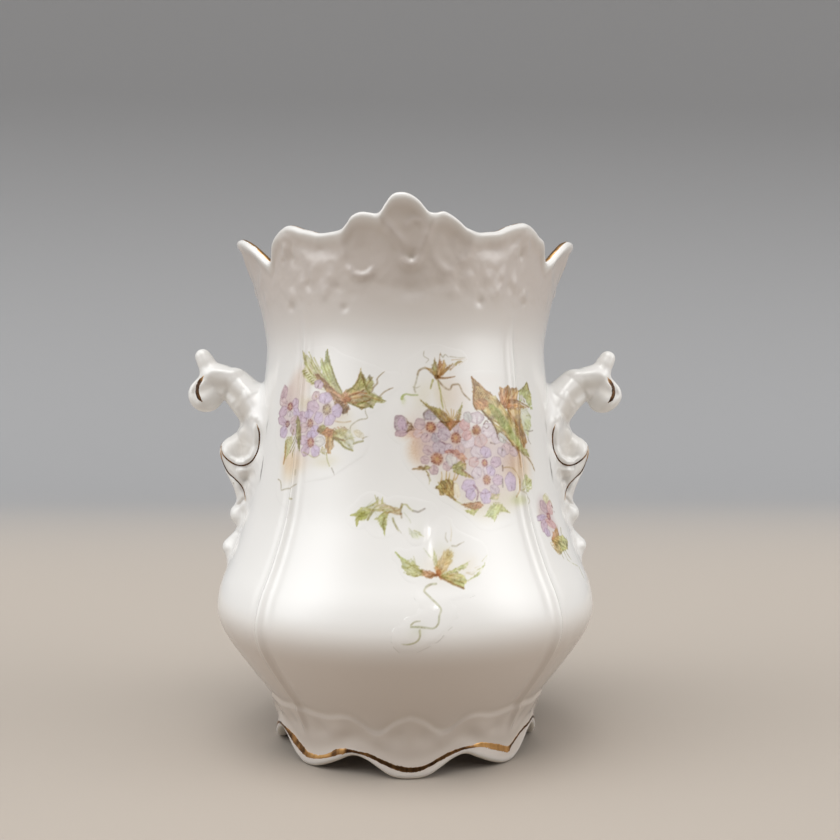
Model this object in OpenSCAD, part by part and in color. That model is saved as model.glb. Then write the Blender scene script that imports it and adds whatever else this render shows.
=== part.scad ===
// Two-handled porcelain vase: a cast body with four soft panels, a moulded
// scalloped rim and an eight-lobed foot, two scroll handles, gilt lines and
// thin overglaze flower prints. Millimetres, +Z up, origin under the middle
// of the foot. The front faces -Y and the handles stand along X.

/* [Body] */
// Height from the table to the highest point of the rim
vase_h = 122; // [100:1:150]
// Radius at the widest part of the belly
belly_r = 46; // [40:0.5:56]
// Thickness of the cast wall
wall = 2.2; // [1.8:0.1:3]
// Height of the cavity's floor above the table
floor_z = 11; // [10:0.5:14]
// Height of the foot's arches above the table
arch_h = 4.4; // [2:0.2:5]
// How far the four upright ribs stand proud
rib_h = 0.8; // [0.2:0.1:1.4]

/* [Handles] */
// Thickness of the scroll handles, front to back
handle_t = 7.6; // [6:0.2:9]

/* [Decoration] */
// Thickness of the gilt lines
gilt_t = 0.12; // [0.08:0.01:0.25]
// Width of the gilt line around the foot
gilt_w = 0.9; // [0.6:0.1:1.2]
// Thickness of the printed flower decals
decal_t = 0.1; // [0.08:0.01:0.2]

/* [Hidden] */
hs = vase_h / 122;
rs = belly_r / 46;

// Outside radius in the middle of a panel, by height
PROFILE = [[0, 31], [3, 31.2], [6, 31.3], [9, 31.8], [12, 33.2], [15, 35.2],
    [18, 37.5], [21, 39.8], [24, 42], [27, 44], [30, 45.4], [33, 46],
    [37, 45.5], [40, 44.6], [43, 43.3], [47, 41.8], [51, 40.5], [56, 39],
    [61, 38], [66, 37.2], [72, 36.5], [80, 35.7], [88, 34.8], [95, 34.3],
    [101, 35.1], [107, 36.4], [111, 37.6], [114, 38.8], [118, 40.6], [122, 41.8]];
// How much the panels draw in towards the ribs, as a share of the radius
DRAW_IN = [[0, 0], [14, 0], [25, 0.01], [34, 0.02], [44, 0.04], [54, 0.055],
    [80, 0.055], [100, 0.055], [108, 0.07], [115, 0.11], [122, 0.125]];
// Height of the rim by angle, from the front (0) to a handle (90)
RIM = [[0, 122], [3, 121.6], [5, 120.4], [7.3, 118.7], [9, 118.4], [12, 118.6], [14.5, 117.9],
    [18, 116.2], [23, 115.6], [29, 115.9], [36, 118], [43, 119.7], [48, 120.1], [54, 119.8],
    [59, 118.6], [62, 116.8], [65, 114.4], [68, 114.7], [74, 117.2], [80, 120.4], [85, 121.4], [90, 121]];

// A smooth curve through a table of [x, y] pairs, level at both ends
function seg(x, t, i = 0) = i >= len(t) - 2 || x < t[i + 1][0] ? i : seg(x, t, i + 1);
function slope(t, i) = i <= 0 || i >= len(t) - 1 ? 0
    : (t[i + 1][1] - t[i - 1][1]) / (t[i + 1][0] - t[i - 1][0]);
function curve(x, t) = let (
        q = min(max(x, t[0][0]), t[len(t) - 1][0]), i = seg(q, t),
        h = t[i + 1][0] - t[i][0], u = (q - t[i][0]) / h)
    t[i][1] * (2 * u * u * u - 3 * u * u + 1) + slope(t, i) * h * (u * u * u - 2 * u * u + u)
    + t[i + 1][1] * (3 * u * u - 2 * u * u * u) + slope(t, i + 1) * h * (u * u * u - u * u);

// Angles run from the front (-Y) towards +X
QUARTER = [0, 3, 6, 8, 12, 15, 18, 23, 29, 36, 42, 43.5, 45, 46.5, 48, 54, 60, 65, 70, 77, 84];
ANGLES = concat(
    [for (a = QUARTER) a],
    [90, for (i = [len(QUARTER) - 1:-1:1]) 180 - QUARTER[i]],
    [for (a = QUARTER) 180 + a],
    [270, for (i = [len(QUARTER) - 1:-1:1]) 360 - QUARTER[i]]);
N = len(ANGLES);

function fold(a) = let (b = abs(a % 360), c = b > 180 ? 360 - b : b) c > 90 ? 180 - c : c;
function off_rib(a) = abs(abs(a) % 90 - 45);
// Underside of the foot: level where the eight lobes stand, arched between them
function foot_z(a) = arch_h * max(0, (1 - cos(8 * a)) * 0.58 - 0.16);
function ease(x) = let (u = min(max(x, 0), 1)) u * u * (3 - 2 * u);

// Height of level v at angle a: the lowest levels follow the foot's scallops
// and the highest follow the rim
function lift(a, v) = hs * (v > 100
    ? 100 + (v - 100) * (curve(fold(a), RIM) - 100) / 22
    : v) + foot_z(a) * (1 - ease((v - 4) / 12));
function radius(a, z) = rs * curve(z / hs, PROFILE)
    * (1 - curve(z / hs, DRAW_IN) * pow(sin(2 * a), 2))
    + rib_h * ease((z / hs - 6) / 6) * ease((102 - z / hs) / 12)
    * (1 - 0.6 * ease((z / hs - 50) / 30))
    * exp(-pow(off_rib(a) * 0.0175 * belly_r / 1.1, 2));
function at(a, r, z) = [r * sin(a), -r * cos(a), z];
// A point of the outside wall at level v, moved out by d
function skin(a, v, d = 0) = let (z = lift(a, v)) at(a, radius(a, z) + d, z);

OUTER = [0, 0.9, 1.8, 1.8 + gilt_w, 5, 9, 12, 15.5, 19, 22.5, 26, 29, 32, 35, 38,
    41.5, 45, 49, 53.5, 58, 63, 68, 73.5, 79, 85, 91, 97, 102, 106, 109.5, 112.5,
    115.5, 118.8, 121.5];
INNER = [119, 115, 110, 104, 95, 84, 74, 65, 57, 50, 44, 38, 33, 28, 22];

function stack(n, first, last) = concat(
    [for (j = [0:N - 1]) [first, j + 1, (j + 1) % N + 1]],
    [for (k = [0:n - 2]) for (j = [0:N - 1]) let (p = 1 + k * N + j, q = 1 + k * N + (j + 1) % N)
        each [[p, p + N, q + N], [p, q + N, q]]],
    [for (j = [0:N - 1]) [last, 1 + (n - 1) * N + (j + 1) % N, 1 + (n - 1) * N + j]]);

// The rings of the body in order: underside, inside of the foot, outside,
// lip, cavity and floor
function rings() = concat(
    [for (r = [14, 24]) [for (a = ANGLES) at(a, rs * r, floor_z - 3.2)]],
    [[for (a = ANGLES) at(a, rs * 28, floor_z - 4)]],
    [for (v = [3.4, 1.2, 0]) [for (a = ANGLES) skin(a, v, -(wall + 0.4 - v * 0.05))]],
    [for (v = OUTER) [for (a = ANGLES) skin(a, v)]],
    [[for (a = ANGLES) skin(a, 122, -wall / 2)]],
    [[for (a = ANGLES) skin(a, 121.5, -wall)]],
    [for (v = INNER) [for (a = ANGLES) skin(a, v, -wall)]],
    [[for (a = ANGLES) at(a, radius(a, 17 * hs) - wall - 0.6, floor_z + 5)]],
    [[for (a = ANGLES) at(a, rs * 30, floor_z + 1.6)]],
    [[for (a = ANGLES) at(a, rs * 24, floor_z)]]);

module body_shell() {
    r = rings();
    pts = concat([[0, 0, floor_z - 3.2]], [for (ring = r) each ring], [[0, 0, floor_z]]);
    polyhedron(points = pts, faces = stack(len(r), 0, len(pts) - 1));
}

// The outside wall as one filled solid, grown by d: it trims what is stuck on
module filled(d = 0) {
    r = [for (v = concat(OUTER, [122])) [for (a = ANGLES) skin(a, v, d)]];
    pts = concat([[0, 0, 0]], [for (ring = r) each ring], [[0, 0, vase_h]]);
    polyhedron(points = pts, faces = stack(len(r), 0, len(pts) - 1));
}

// A closed band around the vase from two rings of points on the wall and the
// same two rings moved off it
module band(inner_low, inner_high, outer_low, outer_high) {
    pts = concat(inner_low, outer_low, outer_high, inner_high);
    polyhedron(points = pts, faces = [for (k = [0:3]) for (j = [0:N - 1])
        let (p = k * N + j, q = k * N + (j + 1) % N, s = ((k + 1) % 4) * N + j, t = ((k + 1) % 4) * N + (j + 1) % N)
        each [[p, s, t], [p, t, q]]]);
}

// Scroll handle, seen from the front: [distance from the axis, height, radius,
// half depth from front to back]. It spreads where it meets the wall.
ARM = [[33, 79, 5.4, 9], [37.8, 82.4, 4.9, 7.5], [42.6, 86.2, 4.4, 4.6], [47.6, 86.4, 4.5, 4],
    [49.9, 83.7, 4.1, 3.8]];
KNOB = [[49, 88, 3, 3], [50, 91.4, 2, 2], [50.2, 93, 2.1, 2.1]];
TRUNK = [[34.4, 78, 5.6, 9.5], [34.6, 73, 5.2, 10.5], [36, 69.4, 5.6, 9], [41.8, 70, 4.4, 4]];
TAIL = [[36, 66, 4, 8.6], [40.6, 66.6, 3.6, 5], [40.2, 63.4, 3.2, 5], [39.6, 60.2, 2.6, 4],
    [39.4, 57.6, 2.3, 3.4]];
BEADS = [[39.4, 57.6, 2.3, 3.4], [41, 53.8, 2.3, 3], [39.8, 50.8, 2, 2.6], [42.8, 46.5, 2.5, 3],
    [42, 43.6, 2.2, 2.6]];

module blob(p, d) {
    translate([rs * p[0], 0, hs * p[1]])
        scale([1, (p[3] * handle_t / 7.6 + d) / (p[2] + d), 1]) sphere(r = p[2] + d, $fn = 16);
}
module chain(t, d) {
    for (i = [0:len(t) - 2]) hull() { blob(t[i], d); blob(t[i + 1], d); }
}
module scrolls(d = 0) {
    chain(ARM, d);
    chain(KNOB, d);
    chain(TRUNK, d);
    chain(TAIL, d);
    chain(BEADS, d);
}
// Handle on the +X side
module handle() {
    difference() {
        union() { scrolls(); }
        filled();
    }
}

// A drawn line of the given width through hand-set points, seen from the front
module stroke(t, w) {
    for (i = [0:len(t) - 2]) hull() {
        translate([rs * t[i][0], hs * t[i][1]]) circle(d = w, $fn = 8);
        translate([rs * t[i + 1][0], hs * t[i + 1][1]]) circle(d = w, $fn = 8);
    }
}
EYE_LINE = [[50.4, 87], [51.2, 85.4], [51, 83.6], [50.2, 82.4]];
BOWL_LINE = [[45, 70.4], [43.6, 67.6], [41, 66.2], [38.2, 66.6], [36.4, 68.6], [35.6, 71.6], [36, 74.8]];
TAIL_LINE = [[44.6, 67.4], [42.8, 64.6], [40.8, 62.8], [39.8, 60.4]];
module handle_gilding() {
    intersection() {
        difference() {
            union() { scrolls(gilt_t); }
            union() { scrolls(); }
            filled(1);
        }
        rotate([90, 0, 0]) linear_extrude(height = 30, center = true) {
            stroke(EYE_LINE, 1.1);
            stroke(BOWL_LINE, 0.9);
            stroke(TAIL_LINE, 0.8);
        }
    }
}

// A thin print on the wall, inside the outline drawn by its children as seen
// from outside at angle a
module print_at(a) {
    intersection() {
        difference() { filled(decal_t); filled(); }
        rotate([0, 0, a]) rotate([90, 0, 0]) linear_extrude(height = 70) children();
    }
}
// Outline that runs round a chain of [across, height, radius] discs
module patch(t) {
    for (i = [0:len(t) - 2]) hull() {
        translate([rs * t[i][0], hs * t[i][1]]) circle(r = t[i][2], $fn = 20);
        translate([rs * t[i + 1][0], hs * t[i + 1][1]]) circle(r = t[i + 1][2], $fn = 20);
    }
}
LEFT_BOUQUET = [[12.6, 84.6, 2.2], [7, 83, 5.4], [0, 84, 7], [-4, 88, 5.2], [-9, 88, 5], [-13, 81, 5.6],
    [-14, 74, 5.4], [-6, 76, 8], [2, 75, 6.6], [4, 72, 4.4], [-2, 69, 5], [-12, 68, 5.6],
    [-13, 62, 4.4], [-11.5, 58.6, 2.6]];
RIGHT_BOUQUET = [[-13.6, 75.6, 4.8], [-12, 79.6, 3.8], [-10.5, 86, 4.6], [-7.5, 88.4, 4.4], [-2.5, 89.6, 2.2],
    [-6.5, 84, 5], [-3, 80, 7], [3.4, 82, 5.6], [9, 81, 7], [15, 82.6, 4.6], [14, 77, 6.4],
    [13, 71, 6.8], [12, 66, 7.2], [5, 68, 9], [-2, 68, 9], [-8.4, 74.6, 6], [-9.4, 70, 6.4],
    [-7, 66, 5.6], [-5.6, 62.4, 3.8],
    [3, 60, 7], [11, 60, 5.6], [14, 58, 3.2]];
LEAF_SPRIG = [[-8.4, 56.6, 2.8], [-5.4, 58, 3.8], [-3.4, 56, 3.9], [-1.8, 56.6, 3.8], [0, 57.4, 3.6],
    [3, 57.6, 3], [6.2, 57.6, 2.2], [3, 55.6, 3.4], [3.8, 53, 2.2]];
FAN_LEAF = [[-8.2, 49, 1.6], [-5, 47, 3.6], [0, 46.6, 5], [1.6, 55, 1.9], [2, 50.6, 4], [7.6, 48.6, 3.4],
    [5, 45, 4], [0, 44, 4], [-2.4, 42.4, 3.2], [-0.6, 38, 3], [-3.6, 35.4, 3.2], [-7, 33.4, 3]];
SIDE_SPRAY = [[-5.4, 57.4, 4.4], [-5.4, 55.4, 4.8], [-5.4, 53.6, 5], [-4.2, 51.6, 5.1], [-3, 50, 5],
    [-1.4, 48.6, 4.8], [0, 47.6, 4.4], [2.6, 44, 3], [4.6, 41, 2]];

PORCELAIN = [0.95, 0.945, 0.93];
GILT = [0.62, 0.45, 0.2];
PRINT = [0.75, 0.7, 0.85];

module vase_body() { color(PORCELAIN) body_shell(); }
module handle_right() { color(PORCELAIN) handle(); }
module handle_left() { color(PORCELAIN) mirror([1, 0, 0]) handle(); }
module rim_gilding() {
    color(GILT) band(
        [for (a = ANGLES) skin(a, 121.5, -wall)],
        [for (a = ANGLES) skin(a, 122, -wall / 2)],
        [for (a = ANGLES) skin(a, 121.5, -wall) + at(a, -gilt_t, gilt_t)],
        [for (a = ANGLES) skin(a, 122, -wall / 2) + [0, 0, gilt_t]]);
}
module foot_gilding() {
    color(GILT) band(
        [for (a = ANGLES) skin(a, 1.8)],
        [for (a = ANGLES) skin(a, 1.8 + gilt_w)],
        [for (a = ANGLES) skin(a, 1.8, gilt_t)],
        [for (a = ANGLES) skin(a, 1.8 + gilt_w, gilt_t)]);
}
module handle_right_gilding() { color(GILT) handle_gilding(); }
module handle_left_gilding() { color(GILT) mirror([1, 0, 0]) handle_gilding(); }
module decal_front_left_bouquet() { color(PRINT) print_at(-27) patch(LEFT_BOUQUET); }
module decal_front_right_bouquet() { color(PRINT) print_at(22) patch(RIGHT_BOUQUET); }
module decal_front_leaf_sprig() { color(PRINT) print_at(-4) patch(LEAF_SPRIG); }
module decal_front_fan_leaf() { color(PRINT) print_at(8) patch(FAN_LEAF); }
module decal_right_side_spray() { color(PRINT) print_at(66) patch(SIDE_SPRAY); }
// The back carries the same set, turned half way round
module decal_back_left_bouquet() { color(PRINT) print_at(153) patch(LEFT_BOUQUET); }
module decal_back_right_bouquet() { color(PRINT) print_at(202) patch(RIGHT_BOUQUET); }
module decal_back_leaf_sprig() { color(PRINT) print_at(176) patch(LEAF_SPRIG); }
module decal_back_fan_leaf() { color(PRINT) print_at(188) patch(FAN_LEAF); }
module decal_left_side_spray() { color(PRINT) print_at(246) patch(SIDE_SPRAY); }

vase_body();
handle_left();
handle_right();
rim_gilding();
foot_gilding();
handle_left_gilding();
handle_right_gilding();
decal_front_left_bouquet();
decal_front_right_bouquet();
decal_front_leaf_sprig();
decal_front_fan_leaf();
decal_right_side_spray();
decal_back_left_bouquet();
decal_back_right_bouquet();
decal_back_leaf_sprig();
decal_back_fan_leaf();
decal_left_side_spray();
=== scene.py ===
"""Looks of the two-handled porcelain vase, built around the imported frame.

Every length below is in millimetres in the frame's own axes and is turned into
metres when a mesh is made. Angles run from the front (-Y) towards +X.
"""
import bpy
import math
import numpy as np
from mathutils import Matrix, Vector


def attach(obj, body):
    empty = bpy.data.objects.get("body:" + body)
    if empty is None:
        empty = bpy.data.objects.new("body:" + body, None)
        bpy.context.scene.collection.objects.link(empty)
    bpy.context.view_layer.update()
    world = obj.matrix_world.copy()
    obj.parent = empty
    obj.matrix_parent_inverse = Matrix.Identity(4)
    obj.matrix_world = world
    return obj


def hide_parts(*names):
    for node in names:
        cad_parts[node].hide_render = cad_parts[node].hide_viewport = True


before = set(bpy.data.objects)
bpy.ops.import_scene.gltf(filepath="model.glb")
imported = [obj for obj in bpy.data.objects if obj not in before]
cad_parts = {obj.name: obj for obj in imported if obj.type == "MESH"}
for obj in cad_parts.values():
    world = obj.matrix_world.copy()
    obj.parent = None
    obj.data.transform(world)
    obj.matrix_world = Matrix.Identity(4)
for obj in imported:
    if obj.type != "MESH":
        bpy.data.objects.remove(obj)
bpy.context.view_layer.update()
MM = 0.001

# ---------------------------------------------------------------- the wall

PROFILE = [[0, 31], [3, 31.2], [6, 31.3], [9, 31.8], [12, 33.2], [15, 35.2],
           [18, 37.5], [21, 39.8], [24, 42], [27, 44], [30, 45.4], [33, 46],
           [37, 45.5], [40, 44.6], [43, 43.3], [47, 41.8], [51, 40.5], [56, 39],
           [61, 38], [66, 37.2], [72, 36.5], [80, 35.7], [88, 34.8], [95, 34.3],
           [101, 35.1], [107, 36.4], [111, 37.6], [114, 38.8], [118, 40.6], [122, 41.8]]
DRAW_IN = [[0, 0], [14, 0], [25, 0.01], [34, 0.02], [44, 0.04], [54, 0.055],
           [80, 0.055], [100, 0.055], [108, 0.07], [115, 0.11], [122, 0.125]]
# The rim's height by angle over the front half; the back half is the same, turned
RIM = [[-90, 121], [-84, 120.8], [-79, 120.2], [-73, 118.2], [-68, 115.5], [-64.5, 113.6],
       [-62.3, 113], [-60.3, 114], [-58, 116.8], [-54, 118.6], [-49, 119.6], [-45.5, 119.2],
       [-41.5, 118.2], [-37, 117.3], [-33, 116.5], [-27, 116.2], [-22.5, 116.4], [-20.3, 117.4],
       [-18.5, 118.5], [-15.5, 119], [-12.7, 118.7], [-10.5, 118.4], [-9, 118.7], [-7.5, 120.1],
       [-5.4, 121.7], [-3, 122.1], [-0.5, 121.8], [2.4, 120.6], [3.9, 119.5], [5.4, 118.6],
       [7.5, 118.5], [9.8, 118.9], [12.1, 118.5], [15, 117.6], [18, 116.5], [23, 116],
       [27.5, 116.5], [32, 117.2], [36, 118.4], [42, 119.8], [46, 120.4], [50, 120],
       [54.7, 118.7], [58, 117.9], [60.2, 115.8], [62, 114.1], [64.6, 113.7], [68, 115.2],
       [71.2, 117.5], [75, 119.6], [80, 120.7], [90, 121]]
# The foot's lower edge over a quarter turn
FOOT = [[0, 0], [4, 0.12], [8, 0.75], [12, 2.1], [16, 3.5], [20, 4.35], [22.5, 4.45],
        [25, 4.1], [27.5, 3.4], [30, 2.75], [35, 1.5], [40, 0.5], [44, 0.1], [48, 0.15],
        [52, 1.1], [56, 2.7], [60, 4.3], [64, 5.2], [67.5, 5.3], [72, 4.4], [76, 3],
        [80, 1.5], [84, 0.45], [90, 0]]
# The wavy line where the foot's moulded band starts, from a lobe (0) to the rib (45)
BAND = [[0, 14], [3.5, 13.3], [6.5, 12.2], [9, 10.9], [12, 10.1], [15, 10.6], [18.5, 12.3],
        [22, 13.4], [26, 13.4], [31, 12.8], [36, 12.9], [41, 13.3], [45, 13.4]]
WALL = 2.2


def curve(x, t):
    t = np.asarray(t, float)
    X, Y = t[:, 0], t[:, 1]
    m = np.zeros(len(t))
    m[1:-1] = (Y[2:] - Y[:-2]) / (X[2:] - X[:-2])
    q = np.clip(x, X[0], X[-1])
    i = np.clip(np.searchsorted(X, q, side="right") - 1, 0, len(t) - 2)
    h = X[i + 1] - X[i]
    u = (q - X[i]) / h
    return (Y[i] * (2 * u**3 - 3 * u**2 + 1) + m[i] * h * (u**3 - 2 * u * u + u)
            + Y[i + 1] * (3 * u * u - 2 * u**3) + m[i + 1] * h * (u**3 - u * u))


def ease(x):
    u = np.clip(x, 0, 1)
    return u * u * (3 - 2 * u)


def half_turn(a):
    return (a + 90.0) % 180.0 - 90.0


def fold(a):
    b = np.abs(half_turn(a))
    return b


def rim_z(a):
    return curve(half_turn(a), RIM)


def foot_z(a):
    return curve(fold(a), FOOT)


def off_rib(a):
    return np.abs(np.abs(half_turn(a)) - 45.0)


def rib(a, z):
    d = off_rib(a) * 0.0175 * 46
    fade = ease((z - 6) / 6) * ease((104 - z) / 14) * (1 - 0.55 * ease((z - 50) / 30))
    # a rounded bead with a faint hollow on either side of it
    return fade * (0.85 * np.exp(-(d / 0.95) ** 2) - 0.16 * np.exp(-((d - 2.6) / 1.3) ** 2))


def plain_radius(a, z):
    return curve(z, PROFILE) * (1 - curve(z, DRAW_IN) * np.sin(np.radians(2 * a)) ** 2)


def wall_radius(a, z):
    return plain_radius(a, z) + rib(a, z)


def lift(a, v):
    up = np.where(v > 100, 100 + (v - 100) * (rim_z(a) - 100) / 22, v)
    return up + foot_z(a) * (1 - ease((v - 2.2) / 13.5))


# ------------------------------------------------------- smooth random field

def _hash(ix, iy, seed):
    h = (ix * 374761393 + iy * 668265263 + seed * 1442695041) & 0xFFFFFFFF
    h = ((h ^ (h >> 13)) * 1274126177) & 0xFFFFFFFF
    return ((h ^ (h >> 16)) & 0xFFFF) / 65535.0


def noise(x, y, seed=0):
    x = np.asarray(x, float); y = np.asarray(y, float)
    fx, fy = np.floor(x), np.floor(y)
    ix, iy = fx.astype(np.int64), fy.astype(np.int64)
    u, v = ease(x - fx), ease(y - fy)
    return ((_hash(ix, iy, seed) * (1 - u) + _hash(ix + 1, iy, seed) * u) * (1 - v)
            + (_hash(ix, iy + 1, seed) * (1 - u) + _hash(ix + 1, iy + 1, seed) * u) * v)


def fractal(x, y, seed=0, octaves=3):
    s, w, t = 0.0, 1.0, 0.0
    for k in range(octaves):
        s = s + w * noise(x * 2**k, y * 2**k, seed + 17 * k)
        t += w
        w *= 0.5
    return s / t


# ------------------------------------------------------- relief under the rim

SY = 0.66    # millimetres of wall to a degree near the rim

# Ridges over one panel: amplitude, half width, points of [angle from its middle, height]
FRONT_RIDGES = [
    # the centre lobe: a bright ridge that runs down to a hanging lip, and a soft ring
    (0.6, 1.0, [[-9.6, 118.4], [-7.6, 116.2], [-5.0, 114.4], [-3.2, 113.2], [-2.4, 111.8]]),
    (0.40, 0.9, [[6.4, 118.2], [6.0, 115.6], [4.6, 113.2], [3.0, 111]]),
    (0.30, 0.7, [[-1.4, 115.8], [0.4, 117.2], [2.8, 117], [4.4, 115.6], [4.2, 113.8]]),
    (0.62, 0.85, [[-2.9, 110.1], [-1.6, 108.9], [0.1, 108.4], [1.8, 108.9], [3.0, 110.1]]),
    # left shoulder: a wide smooth hollow with a lit crescent below it
    (0.34, 1.3, [[-21.6, 116.6], [-23, 113.6], [-22.4, 110.6]]),
    (0.72, 0.75, [[-21.2, 108.6], [-19.2, 107.2], [-16.6, 106.6], [-14, 106.9], [-12.4, 107.8]]),
    # right shoulder
    (0.36, 1.3, [[19.6, 116], [21, 113.4], [19.6, 110.8], [16, 109.4]]),
    (0.26, 0.9, [[7.4, 110.6], [9.2, 108.6], [12, 107.6], [15, 107.8]]),
    # long soft swags between the shoulders and the corners
    (0.22, 1.5, [[-44, 114.6], [-40, 111.6], [-34, 110.4], [-28, 111.2]]),
    (0.24, 1.5, [[43, 115.4], [38, 112], [32, 110.8], [26, 111.6]]),
    (0.24, 0.8, [[51, 118], [46.6, 118], [43.4, 116], [43.6, 113.6], [46.4, 112.6]]),
    (0.24, 0.8, [[-54, 116.8], [-49.6, 117.4], [-46, 115.6], [-46, 112.8]]),
]
FRONT_DOMES = [   # amplitude, radius across (degrees), radius up, angle, height
    (-0.55, 5.6, 3.2, 0.6, 117.8), (-0.72, 5.6, 4.6, -14.4, 112.6), (-0.55, 5.2, 4.2, 13, 114),
    (-0.34, 2.0, 1.0, 0.1, 110.5), (-0.35, 4.6, 2.0, -31, 113.4), (-0.35, 4.6, 2.0, 29, 113.6),
    (-0.42, 4.8, 1.7, -0.2, 103.9), (-0.25, 3.4, 1.4, -9.4, 104.6), (-0.24, 3.2, 1.3, 9.6, 105),
    (0.7, 2.3, 1.9, -51, 115.1), (0.55, 2.3, 1.7, 48, 116.2),
    (-0.3, 1.3, 0.9, -48, 112.8), (-0.35, 1.4, 1.0, 46, 113.4), (-0.3, 1.3, 0.8, -53.6, 112.6),
    (0.3, 2.4, 1.7, -37.4, 108.6), (0.3, 2.2, 1.6, -29, 107), (0.28, 2.3, 1.6, 37, 109), (0.3, 2.2, 1.5, 29.4, 107.6),
    (0.3, 2.4, 1.6, -44, 106.8), (0.3, 2.4, 1.6, 44.6, 107.4), (-0.28, 2.0, 1.1, -40.6, 106.4), (-0.28, 2.0, 1.1, 40.4, 106.4),
    (0.36, 2.2, 1.7, -50.6, 104.6), (0.34, 2.2, 1.7, 50.4, 105.4),
    (-0.34, 1.7, 0.9, -24.4, 100.5), (-0.42, 1.7, 1.0, 26.4, 102.2), (-0.36, 2.0, 0.9, -51.4, 102.3),
    (-0.34, 1.8, 0.9, 51, 103.5), (0.26, 2.6, 1.5, -33, 104.2), (0.26, 2.6, 1.5, 34, 104.8),
    (0.24, 2.6, 1.6, 20.6, 106.8), (-0.22, 2.0, 1.0, -27, 105), (0.2, 2.4, 1.3, 15, 103.8), (0.3, 2.2, 1.4, 40.8, 94.4),
]
SIDE_RIDGES = [
    (0.34, 1.0, [[-9.4, 119.2], [-8, 116.4], [-5.4, 113.8], [-3, 111.4]]),
    (0.34, 1.0, [[9.4, 119.2], [8, 116.4], [5.4, 113.8], [3, 111.4]]),
    (0.45, 1.0, [[-3, 109.9], [-1.8, 109], [1, 108.7], [3, 109.6]]),
    (0.22, 1.3, [[-22, 113.8], [-20, 110.8], [-15, 109]]),
    (0.22, 1.3, [[22, 113.8], [20, 110.8], [15, 109]]),
]
SIDE_DOMES = [
    (-0.4, 5.4, 3.2, 0, 117.2), (-0.32, 4.6, 3.6, -15, 113.4), (-0.32, 4.6, 3.6, 15, 113.4),
    (0.28, 2.6, 2.0, 0, 105.8), (-0.26, 3.6, 1.5, 0, 103.4), (0.2, 2, 1.5, -20, 105.4), (0.2, 2, 1.5, 20, 105.4),
]


def ridge_field(x, y, sx, lines):
    """Sum of soft ridges along given lines; x in degrees, y in millimetres."""
    out = np.zeros_like(x)
    for amp, w, pts in lines:
        p = np.array(pts, float)
        lo, hi = p.min(0) - [4 * w / sx, 4 * w], p.max(0) + [4 * w / sx, 4 * w]
        m = (x > lo[0]) & (x < hi[0]) & (y > lo[1]) & (y < hi[1])
        if not m.any():
            continue
        X, Y = x[m] * sx, y[m]
        best = np.full(X.shape, 1e9)
        where = np.zeros(X.shape)
        n = len(p) - 1
        for i in range(n):
            ax, ay = p[i, 0] * sx, p[i, 1]
            bx, by = p[i + 1, 0] * sx, p[i + 1, 1]
            t = np.clip(((X - ax) * (bx - ax) + (Y - ay) * (by - ay)) / ((bx - ax) ** 2 + (by - ay) ** 2), 0, 1)
            d = np.hypot(X - ax - t * (bx - ax), Y - ay - t * (by - ay))
            k = d < best
            best = np.where(k, d, best)
            where = np.where(k, (i + t) / n, where)
        taper = 0.35 + 0.65 * np.sin(np.pi * np.clip(where, 0, 1)) ** 0.5
        out[m] += amp * taper * np.exp(-(best / w) ** 2)
    return out


def dome_field(x, y, sx, domes):
    out = np.zeros_like(x)
    for amp, rx, ry, cx, cy in domes:
        q = ((x - cx) / rx) ** 2 + ((y - cy) / ry) ** 2
        out += amp * np.exp(-q)
    return out


def rim_relief(a, z):
    out = np.zeros_like(a)
    k = z > 96
    if not k.any():
        return out
    aa, zz = half_turn(a[k]), z[k]
    front = (np.abs(aa) < 60).astype(float)
    f = ridge_field(aa, zz, SY, FRONT_RIDGES) + dome_field(aa, zz, SY, FRONT_DOMES)
    b = np.where(aa > 0, aa - 90, aa + 90)
    s = ridge_field(b, zz, SY, SIDE_RIDGES) + dome_field(b, zz, SY, SIDE_DOMES)
    w = ease((np.abs(aa) - 56) / 8)
    t = rim_z(a[k]) - zz
    f *= 1 + 0.4 * np.exp(-(aa / 13) ** 2)  # bolder under the front peak
    body = (f * (1 - w) + s * w) * ease((zz - 97) / 4) * ease((t + 0.3) / 1.6)
    # the rolled lip and the hollow that sets it off
    lip = 0.36 * np.exp(-((t - 0.8) / 1.3) ** 2) - 0.12 * np.exp(-((t - 3.4) / 1.4) ** 2)
    wander = (0.34 * (fractal(aa * 0.17 + 50, zz * 0.3, 5) - 0.5) + 0.14 * (fractal(aa * 0.42, zz * 0.7, 8) - 0.5)) * ease((zz - 99) / 6) * ease(t / 2) * (1 - 0.5 * w)
    out[k] = body + lip + wander
    return out


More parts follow.
